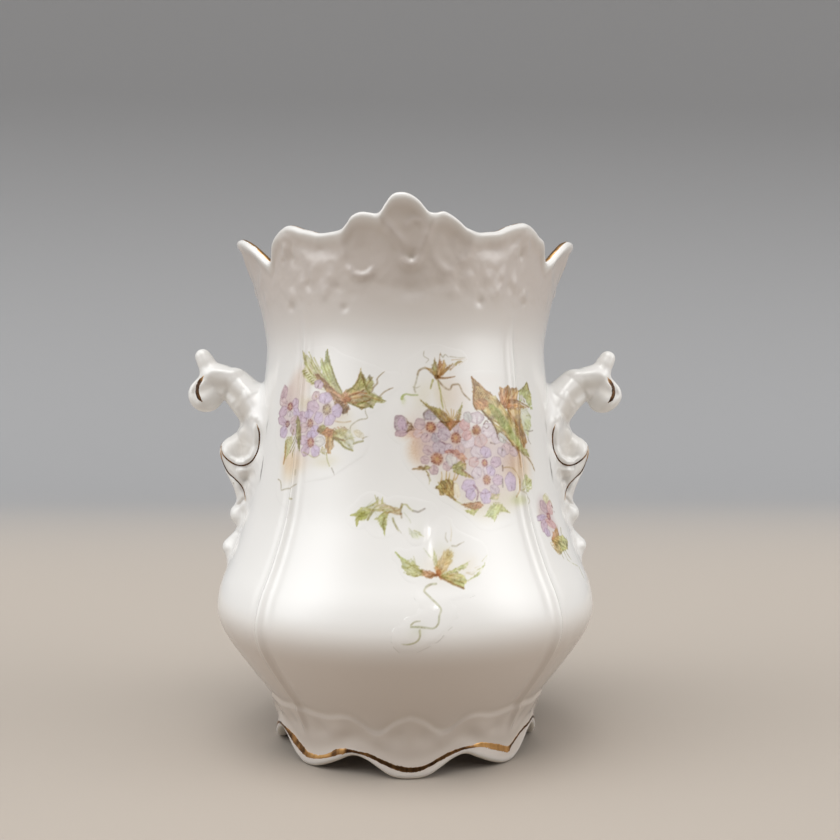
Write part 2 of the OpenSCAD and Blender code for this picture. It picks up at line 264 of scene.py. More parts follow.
def foot_relief(a, z):
    out = np.zeros_like(a)
    k = z < 22
    if not k.any():
        return out
    aa, zz = a[k], z[k]
    q = fold(aa)
    q = np.where(q > 45, 90 - q, q)
    line = curve(q, BAND)
    d = line - zz
    step = 0.5 * ease(d / 1.1 + 0.5) - 0.16 * np.exp(-((d + 0.9) / 0.8) ** 2)
    edge = foot_z(aa)
    t = zz - edge
    step *= 1.0
    swell = 0.35 * np.exp(-((t - 1.2) / 1.3) ** 2) - 0.3 * np.exp(-((t - 4.2) / 1.8) ** 2)
    # shallow flutes that fan out above each lobe
    flute = 0.16 * np.cos(np.radians(q * 24)) * np.exp(-((zz - 9.2) / 2.4) ** 2)
    scroll = 0.22 * np.exp(-(((q - 12) / 3.2) ** 2 + ((zz - 8.4) / 1.5) ** 2)) \
        - 0.2 * np.exp(-(((q - 4) / 2.4) ** 2 + ((zz - 9.6) / 1.8) ** 2)) \
        + 0.2 * np.exp(-(((q - 27) / 4) ** 2 + ((zz - 10) / 1.6) ** 2)) \
        - 0.18 * np.exp(-(((q - 36) / 3) ** 2 + ((zz - 9.2) / 1.6) ** 2))
    out[k] = (step + swell + flute + scroll) * 1.0
    return out


def skin_radius(a, z):
    return wall_radius(a, z) + rim_relief(a, z) + foot_relief(a, z)


def place(a, r, z):
    t = np.radians(a)
    return np.stack([r * np.sin(t), -r * np.cos(t), z + 0 * r], -1)


# ------------------------------------------------------------- mesh helpers

def make_mesh(name, verts, faces, smooth=True, colours=None):
    me = bpy.data.meshes.new(name)
    verts = np.asarray(verts, np.float32) * MM
    faces = np.asarray(faces, np.int32)
    n, k = faces.shape
    me.vertices.add(len(verts))
    me.vertices.foreach_set("co", verts.ravel())
    me.loops.add(n * k)
    me.loops.foreach_set("vertex_index", faces.ravel())
    me.polygons.add(n)
    me.polygons.foreach_set("loop_start", np.arange(0, n * k, k, dtype=np.int32))
    me.polygons.foreach_set("loop_total", np.full(n, k, np.int32))
    me.polygons.foreach_set("use_smooth", np.full(n, smooth, bool))
    me.update(calc_edges=True)
    me.validate()
    if colours is not None:
        for key, c in colours.items():
            c = np.asarray(c, np.float32)
            if c.ndim == 1:
                at = me.attributes.new(key, "FLOAT", "POINT")
                at.data.foreach_set("value", c)
            else:
                at = me.attributes.new(key, "FLOAT_COLOR", "POINT")
                full = np.ones((len(c), 4), np.float32)
                full[:, :3] = c[:, :3]
                at.data.foreach_set("color", full.ravel())
    ob = bpy.data.objects.new(name, me)
    bpy.context.scene.collection.objects.link(ob)
    return ob


def ring_faces(rows, cols, closed=True, flip=False):
    j = np.arange(rows - 1)[:, None]
    i = np.arange(cols if closed else cols - 1)[None, :]
    i2 = (i + 1) % cols
    f = np.stack([j * cols + i, j * cols + i2, (j + 1) * cols + i2, (j + 1) * cols + i], -1).reshape(-1, 4)
    return f[:, ::-1] if flip else f


# ------------------------------------------------------------------ the body

def build_body():
    cols = 560
    ang = np.arange(cols) * 360.0 / cols
    levels = np.concatenate([
        np.array([0.0, 0.12, 0.35, 0.7, 1.1]), np.arange(1.5, 16, 0.5), np.arange(16, 24, 1.0),
        np.arange(24, 94, 2.0), np.arange(94, 98, 0.8), np.arange(98, 121.15, 0.44)])
    A = ang[None, :]
    rows = []       # each row: (radius, z)
    # underside: floor disc, step, inside wall of the foot ring
    for r in (0.6, 8, 16, 24):
        rows.append((np.full(cols, float(r)), np.full(cols, 7.9)))
    rows.append((np.full(cols, 26.6), np.full(cols, 7.7)))
    rows.append((np.full(cols, 27.9), np.full(cols, 6.9)))
    for v, d in ((3.2, 2.55), (1.4, 2.35), (0.5, 2.05), (0.1, 1.6)):
        z = lift(ang, np.full(cols, v))
        rows.append((wall_radius(ang, z) - d, z))
    z = lift(ang, np.zeros(cols))
    rows.append((wall_radius(ang, z) - 1.05, z - 0.0))
    mark_out = len(rows)
    for v in levels:
        z = lift(ang, np.full(cols, v))
        r = skin_radius(ang, z)
        r = r - 0.85 * (1 - np.sqrt(np.clip(1 - (1 - min(v, 1.1) / 1.1) ** 2, 0, 1)))
        rows.append((r, z))
    # the lip: a half round from the outside to the inside
    ztop = rim_z(ang)
    zl = lift(ang, np.full(cols, 121.15))
    r0 = skin_radius(ang, zl)
    ri = wall_radius(ang, zl) - WALL
    mid, half = (r0 + ri) / 2, (r0 - ri) / 2
    for t in (22, 45, 68, 90, 112, 135, 158):
        c, s = math.cos(math.radians(t)), math.sin(math.radians(t))
        rows.append((mid + half * c, zl + (ztop + 0.25 - zl) * s))
    rows.append((ri, zl))
    for v in (119.8, 118, 116, 113, 109, 104, 98, 90, 80, 70, 61, 53, 46, 40, 35, 30, 26, 22, 19):
        zz = lift(ang, np.full(cols, float(v)))
        zz = np.where(v < 30, v, zz)
        rows.append((plain_radius(ang, zz) - WALL + 0.25 * rim_relief(ang, zz), zz + 0 * ang))
    rows.append((plain_radius(ang, np.full(cols, 17.0)) - WALL - 0.7, np.full(cols, 16.4)))
    rows.append((np.full(cols, 31.2), np.full(cols, 13.6)))
    rows.append((np.full(cols, 27.5), np.full(cols, 11.8)))
    for r in (21, 12, 0.6):
        rows.append((np.full(cols, float(r)), np.full(cols, 11.0)))
    R = np.array([r for r, _ in rows]); Z = np.array([z for _, z in rows])
    P = place(np.broadcast_to(A, R.shape), R, Z).reshape(-1, 3)
    F = ring_faces(len(rows), cols)
    # the two small centre discs close the surface
    P = np.concatenate([P, [[0, 0, 7.9], [0, 0, 11.0]]])
    n = len(rows) * cols
    i = np.arange(cols); j = (i + 1) % cols
    low = np.stack([np.full(cols, n), j, i, i], -1)
    top = np.stack([np.full(cols, n + 1), (len(rows) - 1) * cols + i, (len(rows) - 1) * cols + j,
                    (len(rows) - 1) * cols + j], -1)
    # painted shade with a warm glaze-pool tint: where the relief curves inwards
    relief = np.zeros(R.shape)
    o = slice(mark_out, mark_out + len(levels))
    zz = Z[o]; aa = np.broadcast_to(A, zz.shape)
    rel = rim_relief(aa.ravel(), zz.ravel()).reshape(zz.shape) + foot_relief(aa.ravel(), zz.ravel()).reshape(zz.shape)
    blur = rel.copy()
    for _ in range(10):
        blur = (blur + np.roll(blur, 1, 1) + np.roll(blur, -1, 1)
                + np.vstack([blur[:1], blur[:-1]]) + np.vstack([blur[1:], blur[-1:]])) / 5
    relief[o] = np.clip((blur - rel) * 2.2, 0, 1)
    pool_shade = np.concatenate([relief.ravel(), [0, 0]])
    # painted shade: the inside of the vase a little darker and warmer
    inside = np.zeros(R.shape)
    inside[mark_out + len(levels) + 5:] = 1
    inside = np.concatenate([inside.ravel(), [0, 1]])
    bare = np.zeros(R.shape)
    zb = Z - foot_z(A)
    bare[:mark_out + 3] = ease((0.9 - np.abs(zb[:mark_out + 3])) / 0.5)
    bare = np.concatenate([bare.ravel(), [0, 0]])
    # painted highlight: the rim's lip and the foot's hem kept bright, out of the painted shade
    lip = np.maximum(ease(1 - (rim_z(A) - Z - 0.2) / 2.8), 0.6 * ease(1 - (zb - 0.6) / 1.6))
    lip = np.concatenate([lip.ravel(), [0, 0]])
    ob = make_mesh_mixed("vase_body_glazed", P, F, [low[:, :3], top[:, :3]],
                         {"hollow_pool_and_shade": pool_shade, "inner": inside, "bare": bare, "lip": lip})
    return ob


def make_mesh_mixed(name, verts, quads, tri_sets, colours):
    """Quads and triangles in one mesh."""
    tris = np.concatenate(tri_sets)
    me = bpy.data.meshes.new(name)
    verts = np.asarray(verts, np.float32) * MM
    me.vertices.add(len(verts)); me.vertices.foreach_set("co", verts.ravel())
    nq, nt = len(quads), len(tris)
    me.loops.add(nq * 4 + nt * 3)
    me.loops.foreach_set("vertex_index", np.concatenate([quads.ravel(), tris.ravel()]).astype(np.int32))
    me.polygons.add(nq + nt)
    me.polygons.foreach_set("loop_start", np.concatenate([np.arange(nq) * 4, nq * 4 + np.arange(nt) * 3]).astype(np.int32))
    me.polygons.foreach_set("loop_total", np.concatenate([np.full(nq, 4), np.full(nt, 3)]).astype(np.int32))
    me.polygons.foreach_set("use_smooth", np.ones(nq + nt, bool))
    me.update(calc_edges=True)
    me.validate()
    for key, c in colours.items():
        at = me.attributes.new(key, "FLOAT", "POINT")
        at.data.foreach_set("value", np.asarray(c, np.float32))
    ob = bpy.data.objects.new(name, me)
    bpy.context.scene.collection.objects.link(ob)
    return ob


# --------------------------------------------------------------- the handles

# [distance from the axis, height, radius seen from the front, half depth]
ARM = [[34.2, 76.6, 5.0, 9.5], [38.4, 82.2, 5.0, 7.4], [42.4, 86.4, 4.3, 5.0], [47, 86.9, 4.1, 4.3], [49.5, 83.9, 4.3, 3.9]]
NECK = [[46.4, 88.4, 3.3, 3.4], [48.4, 90, 2.5, 2.8], [49.3, 91.6, 1.9, 2.3]]
KNOB = [[49.3, 91.6, 1.9, 2.3], [50.2, 93.3, 1.95, 2.3]]
TRUNK = [[35, 75.6, 5.8, 10.2], [37.4, 71.6, 5.4, 8.4], [42, 69.8, 4.1, 4.3]]
TAIL = [[35.4, 67.6, 4.2, 9.6], [38.4, 66, 4.0, 6.4], [40.9, 66.3, 4.0, 4.2], [39.8, 62.3, 3.2, 4.2], [39.4, 59.4, 2.7, 3.6], [39.4, 57.4, 2.3, 3.0]]
LEAF = [[34.6, 64.4, 3.6, 9.4], [36.6, 61.4, 3.2, 7.0], [38, 57.4, 2.2, 4.8]]
BEAD1 = [[39.6, 57, 2.0, 3.0], [41.2, 54.7, 2.35, 2.9]]
BEAD2 = [[41, 53.6, 1.8, 2.6], [39.7, 51.3, 1.9, 2.4], [40.7, 49.2, 1.9, 2.6], [43.1, 46.4, 2.3, 3.1], [42, 43.4, 1.9, 2.6]]
CHAINS = [ARM, NECK, KNOB, TRUNK, TAIL, LEAF, BEAD1, BEAD2]
# Hollows (positive) and ridges (negative) pressed into both faces: depth, half width, line
FACE_LINES = [
    (1.15, 1.7, [[50.2, 84.4], [47.4, 86], [44, 85.6], [41, 82.8], [39.2, 79], [38.8, 75], [39.4, 71.6]]),
    (0.55, 0.55, [[51, 82.2], [51.9, 84.2], [51.2, 86.4], [49.6, 87.8]]),
    (0.5, 0.5, [[45.6, 70.4], [45.2, 67.2], [43.7, 64.8], [41.9, 63.1], [40.5, 61.6], [39.5, 59.6], [39.2, 57.6]]),
    (-0.5, 0.6, [[36.4, 75.6], [36, 73], [36.3, 70.8], [37.3, 68.6], [39.2, 67.4], [41.3, 67.4], [43.2, 68.4], [44.4, 70.2]]),
    (0.35, 0.5, [[35.2, 76.6], [34.5, 74], [34.8, 71], [35.6, 68.8], [36.8, 67.2], [39, 66], [41.4, 66.1]]),
    (-0.4, 0.8, [[35.4, 77.6], [36.8, 78.6], [38, 77.8]]),
    (-0.45, 1.1, [[40, 90], [43.2, 89.4], [46.6, 89.6], [49, 88.6]]),
    (0.6, 1.2, [[36, 65], [38.6, 64], [39.6, 61]]),
    (0.35, 0.7, [[37.4, 61.8], [37.6, 58.8], [38.6, 56.4]]),
    (0.5, 0.45, [[43.2, 56.2], [41, 56.8], [39.4, 58.4]]),
    (0.4, 0.5, [[41.8, 50.4], [40, 49.6], [38.6, 50.6]]),
]
FACE_DOMES = [(1.3, 2.9, 3.0, 40.2, 70.9), (0.5, 1.5, 1.6, 50.4, 84.4)]


def smin(a, b, k):
    h = np.clip(0.5 + 0.5 * (b - a) / k, 0, 1)
    return b * (1 - h) + a * h - k * h * (1 - h)


def chain_field(x, y, z, chain):
    best = None
    for p, q in zip(chain[:-1], chain[1:]):
        dx, dz = q[0] - p[0], q[1] - p[1]
        t = np.clip(((x - p[0]) * dx + (z - p[1]) * dz) / (dx * dx + dz * dz), 0, 1)
        r = p[2] + (q[2] - p[2]) * t
        h = p[3] + (q[3] - p[3]) * t
        d = np.sqrt((x - p[0] - t * dx) ** 2 + (z - p[1] - t * dz) ** 2 + (y * r / h) ** 2) - r
        best = d if best is None else np.minimum(best, d)
    return best


def face_field(x, z):
    out = dome_field(x, z, 1.0, FACE_DOMES)
    for amp, w, line in FACE_LINES:
        out += ridge_field(x, z, 1.0, [(amp, w, line)])
    return out


def handle_field(x, y, z, side):
    """Below zero inside the handle on the +X side; side is +1 for the right handle."""
    if side > 0:
        x = x - 0.65 * ease((z - 79) / 5) * ease((x - 40) / 6)
    f = None
    for c in CHAINS:
        g = chain_field(x, y, z, c)
        f = g if f is None else smin(f, g, 1.3)
    press = face_field(x, z) * ease((np.abs(y) - 0.7) / 1.8)
    return f + press


def wall_field(x, y, z):
    a = np.degrees(np.arctan2(x, -y))
    return np.hypot(x, y) - wall_radius(a, z)


def handle_solid(x, y, z, side):
    f = handle_field(x, y, z, side)
    g = wall_field(x, y, z)
    joined = smin(f, g, 2.6) + 0.03
    return np.maximum(np.maximum(joined, -(g + 1.1)), f - 3.0)


def surface_nets(F, origin, step):
    neg = F < 0
    n = [s - 1 for s in F.shape]
    count = np.zeros(n, np.int8)
    for dx in (0, 1):
        for dy in (0, 1):
            for dz in (0, 1):
                count += neg[dx:dx + n[0], dy:dy + n[1], dz:dz + n[2]]
    cells = np.argwhere((count > 0) & (count < 8))
    index = -np.ones(n, np.int64)
    index[tuple(cells.T)] = np.arange(len(cells))
    acc = np.zeros((len(cells), 3)); hits = np.zeros(len(cells))
    corners = [(i, j, k) for i in (0, 1) for j in (0, 1) for k in (0, 1)]
    for c in corners:
        for axis in range(3):
            if c[axis]:
                continue
            d = list(c); d[axis] = 1
            fa = F[cells[:, 0] + c[0], cells[:, 1] + c[1], cells[:, 2] + c[2]]
            fb = F[cells[:, 0] + d[0], cells[:, 1] + d[1], cells[:, 2] + d[2]]
            cross = (fa < 0) != (fb < 0)
            t = np.where(cross, fa / np.where(cross, fa - fb, 1), 0)
            pos = np.array(c, float)[None, :].repeat(len(cells), 0)
            pos[:, axis] += t
            acc += pos * cross[:, None]
            hits += cross
    V = (cells + acc / hits[:, None]) * step + origin
    quads = []
    for axis in range(3):
        u, w = [(1, 2), (2, 0), (0, 1)][axis]
        lo = [slice(None)] * 3; hi = [slice(None)] * 3
        lo[axis] = slice(0, -1); hi[axis] = slice(1, None)
        change = neg[tuple(lo)] != neg[tuple(hi)]
        e = np.argwhere(change)
        ok = (e[:, u] > 0) & (e[:, w] > 0) & (e[:, u] < F.shape[u] - 1) & (e[:, w] < F.shape[w] - 1)
        e = e[ok]
        def cell(du, dw):
            c = e.copy(); c[:, u] += du; c[:, w] += dw
            return index[c[:, 0], c[:, 1], c[:, 2]]
        q = np.stack([cell(-1, -1), cell(0, -1), cell(0, 0), cell(-1, 0)], -1)
        out = neg[e[:, 0], e[:, 1], e[:, 2]]
        q = np.where(out[:, None], q, q[:, ::-1])
        quads.append(q)
    return V, np.concatenate(quads)


def gradient(fn, P, h=0.05):
    g = np.empty_like(P)
    for k in range(3):
        d = np.zeros(3); d[k] = h
        a, b = P + d, P - d
        g[:, k] = (fn(a[:, 0], a[:, 1], a[:, 2]) - fn(b[:, 0], b[:, 1], b[:, 2])) / (2 * h)
    return g


def build_handle(side):
    step = 0.34
    xs, ys, zs = np.arange(30.5, 56, step), np.arange(-13.2, 13.21, step), np.arange(40, 97.5, step)
    X, Y, Z = np.meshgrid(xs, ys, zs, indexing="ij")
    F = handle_solid(X, Y, Z, side)
    V, Q = surface_nets(F, np.array([xs[0], ys[0], zs[0]]), step)
    # two passes of smoothing, then back onto the surface
    for _ in range(2):
        acc = np.zeros_like(V); cnt = np.zeros(len(V))
        for i, j in ((0, 1), (1, 2), (2, 3), (3, 0)):
            for p, q in ((i, j), (j, i)):
                np.add.at(acc, Q[:, p], V[Q[:, q]]); np.add.at(cnt, Q[:, p], 1)
        V = V * 0.4 + 0.6 * acc / cnt[:, None]
    fn = lambda x, y, z: handle_solid(x, y, z, side)
    for _ in range(2):
        g = gradient(fn, V)
        f = fn(V[:, 0], V[:, 1], V[:, 2])
        V = V - g * np.clip(f / np.maximum((g * g).sum(1), 0.2), -0.3, 0.3)[:, None]
    press = face_field(V[:, 0], V[:, 2]) * ease((np.abs(V[:, 1]) - 0.7) / 1.8)
    # painted shade with a warm glaze-pool tint in the hollows pressed into the handle's faces
    pool_shade = np.clip(press * 0.55, 0, 1)
    wallside = wall_field(V[:, 0], V[:, 1], V[:, 2])
    pool_shade = np.maximum(pool_shade * ease(wallside / 0.8), 0)
    V = V * [side, 1, 1]
    if side < 0:
        Q = Q[:, ::-1]
    name = "handle_right_glazed" if side > 0 else "handle_left_glazed"
    return make_mesh(name, V, Q, colours={"hollow_pool_and_shade": pool_shade, "inner": np.zeros(len(V)), "bare": np.zeros(len(V))})


def smooth_line(pts, step):
    """Points about step apart on a Catmull-Rom curve through pts (any columns)."""
    p = np.asarray(pts, float)
    p = np.vstack([2 * p[0] - p[1], p, 2 * p[-1] - p[-2]])
    out = []
    for i in range(1, len(p) - 2):
        n = max(2, int(np.hypot(*(p[i + 1, :2] - p[i, :2])) / step))
        t = np.arange(n)[:, None] / n
        a, b, c, d = p[i - 1], p[i], p[i + 1], p[i + 2]
        out.append(0.5 * (2 * b + (c - a) * t + (2 * a - 5 * b + 4 * c - d) * t**2 + (3 * b - a - 3 * c + d) * t**3))
    out.append(p[-2][None, :])
    return np.concatenate(out)


def closed_strip(top, low):
    """Vertices and faces of a closed thin solid between two M x K grids of points."""
    m, k = top.shape[:2]
    V = np.concatenate([top.reshape(-1, 3), low.reshape(-1, 3)])
    j = np.arange(m - 1)[:, None]; i = np.arange(k - 1)[None, :]
    f = np.stack([j * k + i, j * k + i + 1, (j + 1) * k + i + 1, (j + 1) * k + i], -1).reshape(-1, 4)
    n = m * k
    g = f[:, ::-1] + n
    rim = np.concatenate([np.arange(k), k - 1 + k * np.arange(1, m), (m - 1) * k + np.arange(k - 2, -1, -1),
                          k * np.arange(m - 2, 0, -1)])
    nxt = np.roll(rim, -1)
    s = np.stack([rim, rim + n, nxt + n, nxt], -1)
    return V, np.concatenate([f, g, s])


# The gilt lines on a handle: half width, points of [distance from the axis, height, wear]
GILT_LINES = [
    (0.62, [[49.4, 88.3, 0.5], [50.3, 87.2, 0.15], [51, 86, 0.0], [51.1, 84.4, 0.0], [50.5, 82.9, 0.0], [49.7, 82, 0.3]]),
    (0.24, [[45.4, 71.2, 0.55], [45, 69.4, 0.35], [43.3, 67.7, 0.25], [41.2, 66.6, 0.1], [39, 66.6, 0.1], [36.9, 67.7, 0.1], [35.7, 69.4, 0.1],
            [35.1, 71.5, 0.15], [34.9, 74.2, 0.2], [35.5, 76.4, 0.5]]),
    (0.22, [[45.7, 70.4, 0.6], [45.2, 67.4, 0.2], [43.7, 64.7, 0.1], [41.9, 63.2, 0.15], [40.5, 61.8, 0.15], [39.5, 59.8, 0.2], [39.1, 57.9, 0.6]]),
    (0.8, [[44.9, 72.2, 0.85], [45.3, 71.2, 0.65], [45, 70, 0.8]]),
]


def build_handle_gilding(side):
    Vs, Fs, wear, n = [], [], [], 0
    fn = lambda x, y, z: handle_solid(x, y, z, side)
    for half, pts in GILT_LINES:
        c = smooth_line(pts, 0.22)
        if side > 0:
            c[:, 0] += 0.65 * ease((c[:, 1] - 79) / 5) * ease((c[:, 0] - 40) / 6)
        t = np.gradient(c[:, :2], axis=0)
        t /= np.hypot(t[:, 0], t[:, 1])[:, None]
        nrm = np.stack([-t[:, 1], t[:, 0]], -1)
        taper = np.clip(np.minimum(np.arange(len(c)), np.arange(len(c))[::-1]) / 5.0, 0.25, 1)
        K = 7
        u = np.linspace(-1, 1, K)
        wob = 1 + 0.25 * (fractal(np.arange(len(c)) * 0.13, np.full(len(c), half * 50), 3) - 0.5)
        P2 = c[:, None, :2] + nrm[:, None, :] * (u[None, :, None] * (half * taper * wob)[:, None, None])
        x, z = P2[..., 0].ravel(), P2[..., 1].ravel()
        for face in (1, -1):
            ys = np.linspace(13, 0.0, 140)
            f = np.array([fn(x, face * np.full(len(x), yy), z) for yy in ys])
            inside = f < 0
            k = np.argmax(inside, 0)
            ok = inside.any(0) & (k > 0)
            k = np.clip(k, 1, None)
            idx = np.arange(len(x))
            f0, f1 = f[k - 1, idx], f[k, idx]
            y = ys[k - 1] + (ys[k] - ys[k - 1]) * np.where(ok, f0 / np.where(np.abs(f0 - f1) < 1e-9, 1, f0 - f1), 0)
            y = np.where(ok, y, 0.0)
            P = np.stack([x, face * y, z], -1)
            g = gradient(fn, P)
            g /= np.maximum(np.linalg.norm(g, axis=1), 1e-6)[:, None]
            lift_mm = np.tile(0.05 - 0.09 * np.abs(u) ** 4, len(c))
            top = (P + g * lift_mm[:, None]).reshape(len(c), K, 3)
            low = (P - g * 0.14).reshape(len(c), K, 3)
            good = ok.reshape(len(c), K).all(1)
            # keep only the runs that lie on the handle
            run = np.nonzero(good)[0]
            if len(run) < 3:
                continue
            a, b = run[0], run[-1] + 1
            top, low = top[a:b], low[a:b]
            V, F = closed_strip(top, low)
            if face * side < 0:
                F = F[:, ::-1]
            w = c[a:b, 2]
            w = np.repeat(w - 0.85 * (1 - ease(w / 0.45)), K)
            edge = np.tile(np.abs(u) ** 3 * 0.2, b - a)
            if half > 0.5:
                edge = np.tile(0.5 * (1 - u) ** 2 / 4, b - a)
            wear.append(np.concatenate([w + edge, w + edge]))
            Vs.append(V * [side, 1, 1]); Fs.append(F + n); n += len(V)
    name = "handle_right_gilt_lines" if side > 0 else "handle_left_gilt_lines"
    return make_mesh(name, np.concatenate(Vs), np.concatenate(Fs), colours={"wear": np.concatenate(wear)})


# ------------------------------------------------------------ rim and foot gilt

def wall_normal_offset(a, z, d):
    """Point of the finished outside wall at angle a and height z, moved out by d."""
    return place(a, skin_radius(a, z) + d, z)


FOOT_LINE = [  # height of the gilt line's middle, half width, wear, over half a turn
    [-90, 2, 0.45, 0.2], [-80, 3.6, 0.4, 0.3], [-70, 6.2, 0.4, 0], [-62, 6.3, 0.4, -0.3], [-55, 4.8, 0.95, -0.05],
    [-51.7, 3.9, 1, 0.05], [-48, 3, 0.9, -0.1], [-45, 2.5, 0.75, 0.3], [-39, 2.8, 0.5, 0.5], [-34, 3.6, 0.55, 0.35],
    [-30, 4.7, 0.85, -0.05], [-26.5, 5.3, 0.75, 0.35], [-24.3, 5.6, 0.5, -0.3], [-20, 5.5, 0.36, -0.7], [-16, 5.1, 0.5, -0.2],
    [-12, 4.2, 0.5, -0.5], [-8, 3.2, 0.62, -0.6], [-4, 2.5, 0.66, -0.5], [0, 2.2, 0.62, -0.5], [4, 2.4, 0.56, -0.6],
    [8, 3.2, 0.45, -0.6], [12, 4.3, 0.5, -0.3], [16, 5.3, 0.5, 0], [20.4, 5.9, 0.4, -0.5], [25, 6, 0.34, -0.4],
    [27.5, 6, 0.5, 0.45], [30, 5.9, 0.62, 0.5], [35, 5, 0.85, 0.45], [40.6, 3.9, 0.95, 0.34], [45.4, 3, 0.8, 0.3],
    [47.6, 3.6, 0.42, -0.4], [51, 4.5, 0.36, -0.6], [55.4, 5.6, 0.34, -0.4], [60.5, 6.5, 0.34, -0.7], [68, 7, 0.36, -0.4],
    [75, 5.2, 0.38, 0.1], [82, 3, 0.4, 0.1], [90, 2, 0.45, 0.2]]


def build_foot_gilding():
    n = 1400
    a = np.arange(n) * 360.0 / n
    t = np.array(FOOT_LINE, float)
    q = half_turn(a)
    z0 = curve(q, t[:, [0, 1]])
    wear = np.clip(np.interp(q, t[:, 0], t[:, 3]), -1, 1)
    wob = 0.14 * (fractal(a * 0.9, a * 0 + 3, 11) - 0.5)
    half = np.clip(curve(q, t[:, [0, 2]]), 0.3, 1.0) * (0.92 + 0.3 * (fractal(a * 1.7, a * 0 + 9, 12) - 0.5))
    K = 11
    u = np.linspace(-1, 1, K)
    A = np.broadcast_to(a[:, None], (n, K)).ravel()
    Zt = ((z0 + wob)[:, None] + half[:, None] * u[None, :]).ravel()
    d = np.tile(0.05 - 0.09 * np.abs(u) ** 4, n)
    top = place(A, skin_radius(A, Zt) + d, Zt)
    low = place(A, skin_radius(A, Zt) - 0.16, Zt)
    k = K
    V = np.concatenate([top, low])
    j = np.arange(n)[:, None]; j2 = (j + 1) % n; i = np.arange(k - 1)[None, :]
    f = np.stack([j * k + i, j2 * k + i, j2 * k + i + 1, j * k + i + 1], -1).reshape(-1, 4)
    g = f[:, ::-1] + n * k
    jj = np.arange(n); jn = (jj + 1) % n
    s1 = np.stack([jj * k, jj * k + n * k, jn * k + n * k, jn * k], -1)
    s2 = np.stack([jn * k + k - 1, jn * k + k - 1 + n * k, jj * k + k - 1 + n * k, jj * k + k - 1], -1)
    F = np.concatenate([f, g, s1, s2])
    patch = 0.45 * (fractal(a * 0.8, a * 0 + 31, 13) - 0.5)
    w = np.repeat(wear + patch, K) + np.tile(np.abs(u) ** 3 * 0.22, n)
    return make_mesh("foot_gilt_line", V, F, colours={"wear": np.concatenate([w, w])})


def build_rim_gilding():
    n = 1400
    a = np.arange(n) * 360.0 / n
    ztop = rim_z(a)
    zl = lift(a, np.full(n, 121.15))
    r0 = skin_radius(a, zl)
    ri = wall_radius(a, zl) - WALL
    mid, half = (r0 + ri) / 2, (r0 - ri) / 2
    K = 9
    t = np.radians(np.linspace(74, 152, K))
    rows_t, rows_l = [], []
    for kk, th in enumerate(t):
        e = abs(2 * kk / (K - 1) - 1)
        for rows, d in ((rows_t, 0.05 - 0.08 * e**4), (rows_l, -0.15)):
            rr = mid + (half + d) * np.cos(th)
            zz = zl + (ztop + 0.25 - zl + d) * np.sin(th)
            rows.append(place(a, rr, zz))
    top = np.stack(rows_t, 1).reshape(-1, 3); low = np.stack(rows_l, 1).reshape(-1, 3)
    k = K
    V = np.concatenate([top, low])
    j = np.arange(n)[:, None]; j2 = (j + 1) % n; i = np.arange(k - 1)[None, :]
    f = np.stack([j * k + i, j2 * k + i, j2 * k + i + 1, j * k + i + 1], -1).reshape(-1, 4)
    g = f[:, ::-1] + n * k
    jj = np.arange(n); jn = (jj + 1) % n
    s1 = np.stack([jj * k, jj * k + n * k, jn * k + n * k, jn * k], -1)
    s2 = np.stack([jn * k + k - 1, jn * k + k - 1 + n * k, jj * k + k - 1 + n * k, jj * k + k - 1], -1)
    u = np.linspace(-1, 1, K)
    worn = 0.25 + 0.9 * (fractal(a * 0.35, a * 0, 21) - 0.35)
    w = np.repeat(worn, K) + np.tile(np.abs(u) ** 3 * 0.4, n)
    return make_mesh("rim_gilt_line", V, np.concatenate([f, g, s1, s2]), colours={"wear": np.concatenate([w, w])})


# ------------------------------------------------------- the flower prints
#
# Each print is drawn on a flat map of the wall: s is millimetres round the
# wall from the print's middle and z is height. Colours say how much of each
# primary the ink lets through, as seen.

DOT = 0.05      # millimetres to a cell of the drawing


